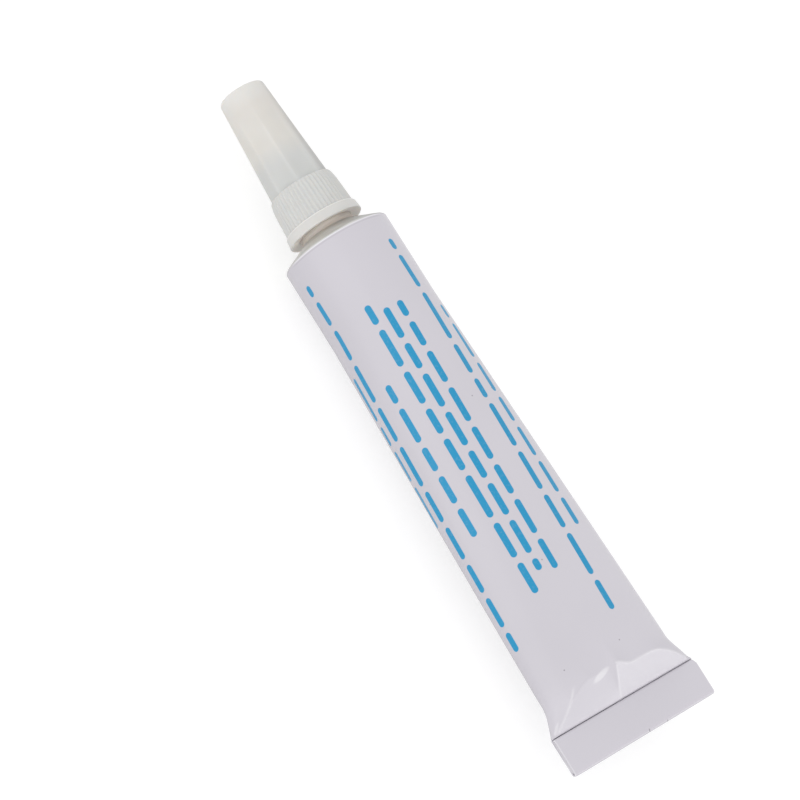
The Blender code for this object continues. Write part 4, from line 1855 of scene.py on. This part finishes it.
    def shape(self) -> Shape:
        """Turn and flute the moulding, and part its skin into zones."""
        shape = super().shape()
        for face in shape.faces:
            face.material_index = self.zone(face.calc_center_median())
        return shape

    def finishes(self, axis: Axis) -> list[Finish]:
        """White plastic, with painted light on the underside and a painted highlight on the flange's top
        edge.
        """
        ledge = axis.point(self.ledge).x
        plastic = MouldedPlastic(near=ledge - self.brow, far=ledge + self.brow, gloss=self.gloss)
        lit_underside = replace(plastic, name="warm moulded plastic", tones=((0.0, self.underside_light_tone),))
        lit_brow = replace(plastic, name="rubbed moulded plastic", tones=((0.0, self.brow_highlight_tone),))
        return [plastic, lit_underside, lit_brow]


@dataclass(frozen=True)
class DosingNeedle(TurnedPart):
    """Blunt steel tube standing in the nozzle's cone."""

    title = "dosing_needle"
    node = "needle"
    body = Body.NEEDLE
    slot = Slot.NEEDLE_STEEL

    chamfer: float = 0.08 * MM
    bore_chamfer: float = 0.02 * MM
    shank_rows: int = 6
    tip_rows: int = 4

    def profile(self) -> Profile:
        """Points of the tube's wall."""
        size, cut = self.layout, self.chamfer
        low, high, outer, bore = size.needle_bottom, size.needle_top, size.needle_radius, size.needle_bore
        profile = [(low, bore), (low, outer - cut / 2), (low + cut / 2, outer)]
        profile += run((low + cut, outer), (high - cut, outer), self.shank_rows)
        profile += arc((high - cut, outer - cut), cut, 90, 0, self.tip_rows)
        return profile + [(high - self.bore_chamfer, bore)]

    def finishes(self, axis: Axis) -> list[Finish]:
        """Ground steel."""
        return [BareMetal("needle steel", (0.62, 0.63, 0.65), 0.25, 14000.0, 0.0015 * MM)]


@dataclass(frozen=True)
class PullCap(TurnedPart):
    """Tapered cap: round at its tip, flat-sided at its foot, hollow over the needle."""

    title = "pull_cap"
    node = "cap"
    body = Body.CAP
    slot = Slot.MILKY_PLASTIC

    tip_radius: float = 3.47 * MM
    tip_round: float = 0.6 * MM
    tip_wall: float = 1.1 * MM
    foot_reach: float = 0.08 * MM
    facet_turn: float = math.radians(20.5)
    ridge_round: float = 0.007
    ridge_width: float = 0.1
    flat_from: float = 0.97
    flat_to: float = 0.4
    skin: float = 0.05 * MM
    steps: int = 192
    tip_rows: int = 8
    shank_rows: int = 40
    plastic: MouldedPlastic = MouldedPlastic(
        name="milky plastic",
        colour=(0.68, 0.66, 0.63),
        roughness=0.36,
        # Darker and greyer towards the foot: painted shade of the hollow seen through the thin wall, lighter
        # at the solid tip.
        tones=(
            (0.0, (0.615, 0.622, 0.61)),
            (0.14, (0.638, 0.641, 0.63)),
            (0.35, (0.705, 0.687, 0.65)),
            (0.9, (0.722, 0.697, 0.66)),
            (1.0, (0.755, 0.745, 0.72)),
        ),
        depth=0.6 * MM,
        grain_depth=0.003 * MM,
        gloss=0.3,
        side_shade=0.5,
    )

    def profile(self) -> Profile:
        """Points of the outer face down to the foot, and of the hollow up to its end."""
        size = self.layout
        shank = size.cap_end - self.tip_round
        foot = size.cap_mouth - self.foot_reach
        hole = size.wire_radius + size.needle_clearance
        grip = size.cap_ceiling + size.wire_grip + size.needle_clearance
        tip = arc((shank, self.tip_radius - self.tip_round), self.tip_round, 0, 90, self.tip_rows)
        return [
            (size.cap_end, 0.0),
            *tip[:-1],
            *run((shank, self.tip_radius), (foot, size.cap_foot_radius), self.shank_rows),
            (foot, size.cap_foot_radius),
            (foot, size.cap_bore),
            (size.cap_mouth + size.spigot_height, size.cap_bore),
            (size.cap_ceiling, self.tip_radius - self.tip_wall),
            (size.cap_ceiling, hole),
            (grip, hole),
            (grip, 0.0),
        ]

    def rise(self, station: Array) -> Array:
        """Share of the way from the foot to the tip's round."""
        return (station - self.layout.cap_mouth) / (self.layout.cap_length - self.tip_round)

    def worked(self, station: Array, turn: Array, radius: Array) -> Array:
        """Radii with the shank's sides flattened towards the foot."""
        share, foot = self.rise(station), self.layout.cap_foot_radius
        shank = foot + (self.tip_radius - foot) * share
        outer = (radius > shank - self.skin) & (share < 1.0)
        flat = np.cos(self.facet_angle / 2) / np.cos(self.aside(turn))
        flat = smooth_min(flat, np.full_like(flat, 1 - self.ridge_round), 2 * self.ridge_round)
        return np.where(outer, radius * (1 + (flat - 1) * self.flatness(station)), radius)

    @property
    def facet_angle(self) -> float:
        """Angle that one of the flat sides takes up."""
        return 2 * math.pi / self.layout.cap_facets

    def aside(self, turn: Array) -> Array:
        """Angles from the middle of the nearest flat side."""
        return (turn - self.facet_turn) % self.facet_angle - self.facet_angle / 2

    def flatness(self, station: Array) -> Array:
        """How flat the sides are, from round at the tip to flat at the foot."""
        return smooth_step(self.flat_from, self.flat_to, self.rise(station))

    def shape(self) -> Shape:
        """Turn and flatten the cap, and give the ridges between its flat sides a share of painted highlight.
        """
        shape = super().shape()
        layer = shape.verts.layers.float.new(HIGHLIGHT_MAP)
        for vert in shape.verts:
            away = self.facet_angle / 2 - abs(self.aside(math.atan2(vert.co.z, vert.co.y)))
            vert[layer] = bell(away, self.ridge_width) * self.flatness(vert.co.x)
        return shape

    def finishes(self, axis: Axis) -> list[Finish]:
        """Milky plastic, whose tone runs from the foot to the tip."""
        foot = axis.point(self.layout.cap_mouth).x
        return [replace(self.plastic, near=foot, far=foot + self.layout.cap_length)]


@dataclass(frozen=True)
class PinWire(TurnedPart):
    """Wire that hangs from the cap's tip and keeps the needle's bore open."""

    title = "pin_wire"
    node = "cap_wire"
    body = Body.CAP
    slot = Slot.WIRE_STEEL

    point: float = 0.25 * MM
    steps: int = 24
    shank_rows: int = 8

    def profile(self) -> Profile:
        """Points of the wire's outside, from its blunt point up."""
        size, point = self.layout, self.point
        low, high, radius = size.needle_bottom, size.cap_ceiling + size.wire_grip, size.wire_radius
        profile = [(low, 0.0), (low, radius / 2), (low + point, radius)]
        profile += run((low + 2 * point, radius), (high, radius), self.shank_rows)
        return profile + [(high, radius), (high, 0.0)]

    def finishes(self, axis: Axis) -> list[Finish]:
        """Drawn steel."""
        return [BareMetal("wire steel", (0.55, 0.55, 0.56), 0.3, 16000.0, 0.0012 * MM)]


# Studio


@dataclass(frozen=True)
class Lamp:
    """A soft rectangular lamp that points at the object."""

    name: str
    place: tuple[float, float, float]
    width: float
    height: float
    watts: float

    def hang(self, aim: Vector) -> None:
        """Put the lamp in the scene, pointing at a place.

        Args:
            aim: The place.
        """
        data = bpy.data.lights.new(self.name, "AREA")
        data.shape = "RECTANGLE"
        data.size, data.size_y = self.width, self.height
        data.energy = self.watts
        lamp = placed(self.name, data)
        lamp.location = self.place
        lamp.rotation_euler = (aim - Vector(self.place)).to_track_quat("-Z", "Y").to_euler()


@dataclass(frozen=True)
class Studio:
    """Pale floor, soft light all round, a few lamps, and the camera."""

    floor_half: float = 3.0
    floor_level: float = -0.02 * MM
    floor_tone: float = 0.8
    floor_glow: float = 0.6
    floor_shadow: float = 0.5
    floor_mirrored: float = 0.35
    dome: float = 0.95
    dome_slant: float = 0.13
    dome_mirrored: float = 1.0
    camera_place: tuple[float, float, float] = (-85.1697 * MM, 240.8996 * MM, 430.0097 * MM)
    camera_aim: tuple[float, float, float] = (3.7874 * MM, 3.7161 * MM, 6.7310 * MM)
    camera_up: tuple[float, float, float] = (0.833475, -0.388539, 0.392882)
    camera_near: float = 0.01
    lens_pixels: float = 3630.14
    image_pixels: float = 800.0
    sensor: float = 36.0
    lamps: tuple[Lamp, ...] = (
        Lamp("key", (0.10, 0.60, 0.36), 0.8, 0.8, 0.65),
        Lamp("tail fill", (-0.48, -0.245, 0.07), 0.22, 0.14, 0.25),
    )

    def seen(self, bench: Bench, mirrored: float) -> Socket:
        """1 for what the camera sees itself, and a share for what is mirrored.

        Args:
            bench: Bench of the floor's material or of the world.
            mirrored: The share for what is mirrored.

        Returns:
            The share.
        """
        path = bench.add("ShaderNodeLightPath").outputs
        seen = bench.math("MAXIMUM", path["Is Camera Ray"], path["Is Transmission Ray"])
        return bench.math("MAXIMUM", seen, bench.times(path["Is Glossy Ray"], mirrored))

    def floor(self) -> None:
        """Lay the floor, white to the eye but with the object's shadow on it."""
        shape = bmesh.new()
        bmesh.ops.create_grid(shape, x_segments=1, y_segments=1, size=self.floor_half)
        bmesh.ops.translate(shape, verts=shape.verts, vec=(0.0, 0.0, self.floor_level))
        mesh = meshed("studio_floor", shape)
        material = bpy.data.materials.new("pale floor")
        material.use_nodes = True
        material.node_tree.nodes.clear()
        bench = Bench(material.node_tree)
        plain, shaded = (
            bench.add("ShaderNodeBsdfDiffuse", {"Color": (tone, tone, tone, 1.0)}).outputs[0]
            for tone in (self.floor_tone, self.floor_shadow)
        )
        glow = bench.add("ShaderNodeEmission", {"Strength": self.floor_glow}).outputs[0]
        white = bench.add("ShaderNodeAddShader", {0: shaded, 1: glow}).outputs[0]
        share = self.seen(bench, self.floor_mirrored)
        mix = bench.add("ShaderNodeMixShader", {0: share, 1: plain, 2: white})
        bench.add("ShaderNodeOutputMaterial", {"Surface": mix.outputs[0]})
        mesh.materials.append(material)
        floor = placed("studio_floor", mesh)

    def light(self) -> None:
        """Light the object from all round and from the lamps."""
        world = bpy.data.worlds.new("studio")
        world.use_nodes = True
        world.node_tree.nodes.clear()
        bench = Bench(world.node_tree)
        way = bench.add("ShaderNodeTexCoord").outputs["Generated"]
        soft = bench.math("MULTIPLY_ADD", bench.parts(way)["Y"], self.dome * self.dome_slant, self.dome)
        lost = bench.math("SUBTRACT", 1.0, soft)
        strength = bench.math("MULTIPLY_ADD", self.seen(bench, self.dome_mirrored), lost, soft)
        sky = bench.add("ShaderNodeBackground", {"Color": (1.0, 1.0, 1.0, 1.0), "Strength": strength})
        bench.add("ShaderNodeOutputWorld", {"Surface": sky.outputs[0]})
        bpy.context.scene.world = world
        for lamp in self.lamps:
            lamp.hang(Vector(self.camera_aim))

    def camera(self) -> None:
        """Stand the camera where the photograph was taken."""
        data = bpy.data.cameras.new("camera")
        data.sensor_width = self.sensor
        data.lens = self.lens_pixels * self.sensor / self.image_pixels
        data.clip_start = self.camera_near
        camera = placed("camera", data)
        forward = (Vector(self.camera_aim) - Vector(self.camera_place)).normalized()
        right = forward.cross(Vector(self.camera_up)).normalized()
        turn = Matrix((right, right.cross(forward), -forward)).transposed()
        camera.matrix_world = Matrix.Translation(self.camera_place) @ turn.to_4x4()
        bpy.context.scene.camera = camera

    def build(self) -> None:
        """Set up the whole studio."""
        self.floor()
        self.light()
        self.camera()
        bpy.context.scene.view_settings.view_transform = "Standard"


def clear_scene() -> None:
    """Remove what the empty file came with."""
    for obj in list(bpy.data.objects):
        bpy.data.objects.remove(obj)


def main() -> None:
    """Build the pieces on the frame and set up the studio."""
    logging.basicConfig(level=logging.INFO, format="%(name)s: %(message)s")
    clear_scene()
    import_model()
    layout = Layout()
    sleeve = Sleeve(layout)
    axis = Axis.from_frame(layout)
    DrawnTube(layout, sleeve).build(axis)
    GlueFilling(layout, sleeve).build(axis)
    LatexBead(layout, sleeve).build(axis)
    ScrewNozzle(layout).build(axis)
    DosingNeedle(layout).build(axis)
    PullCap(layout).build(axis)
    PinWire(layout).build(axis)
    Studio().build()


if __name__ == "__main__":
    main()
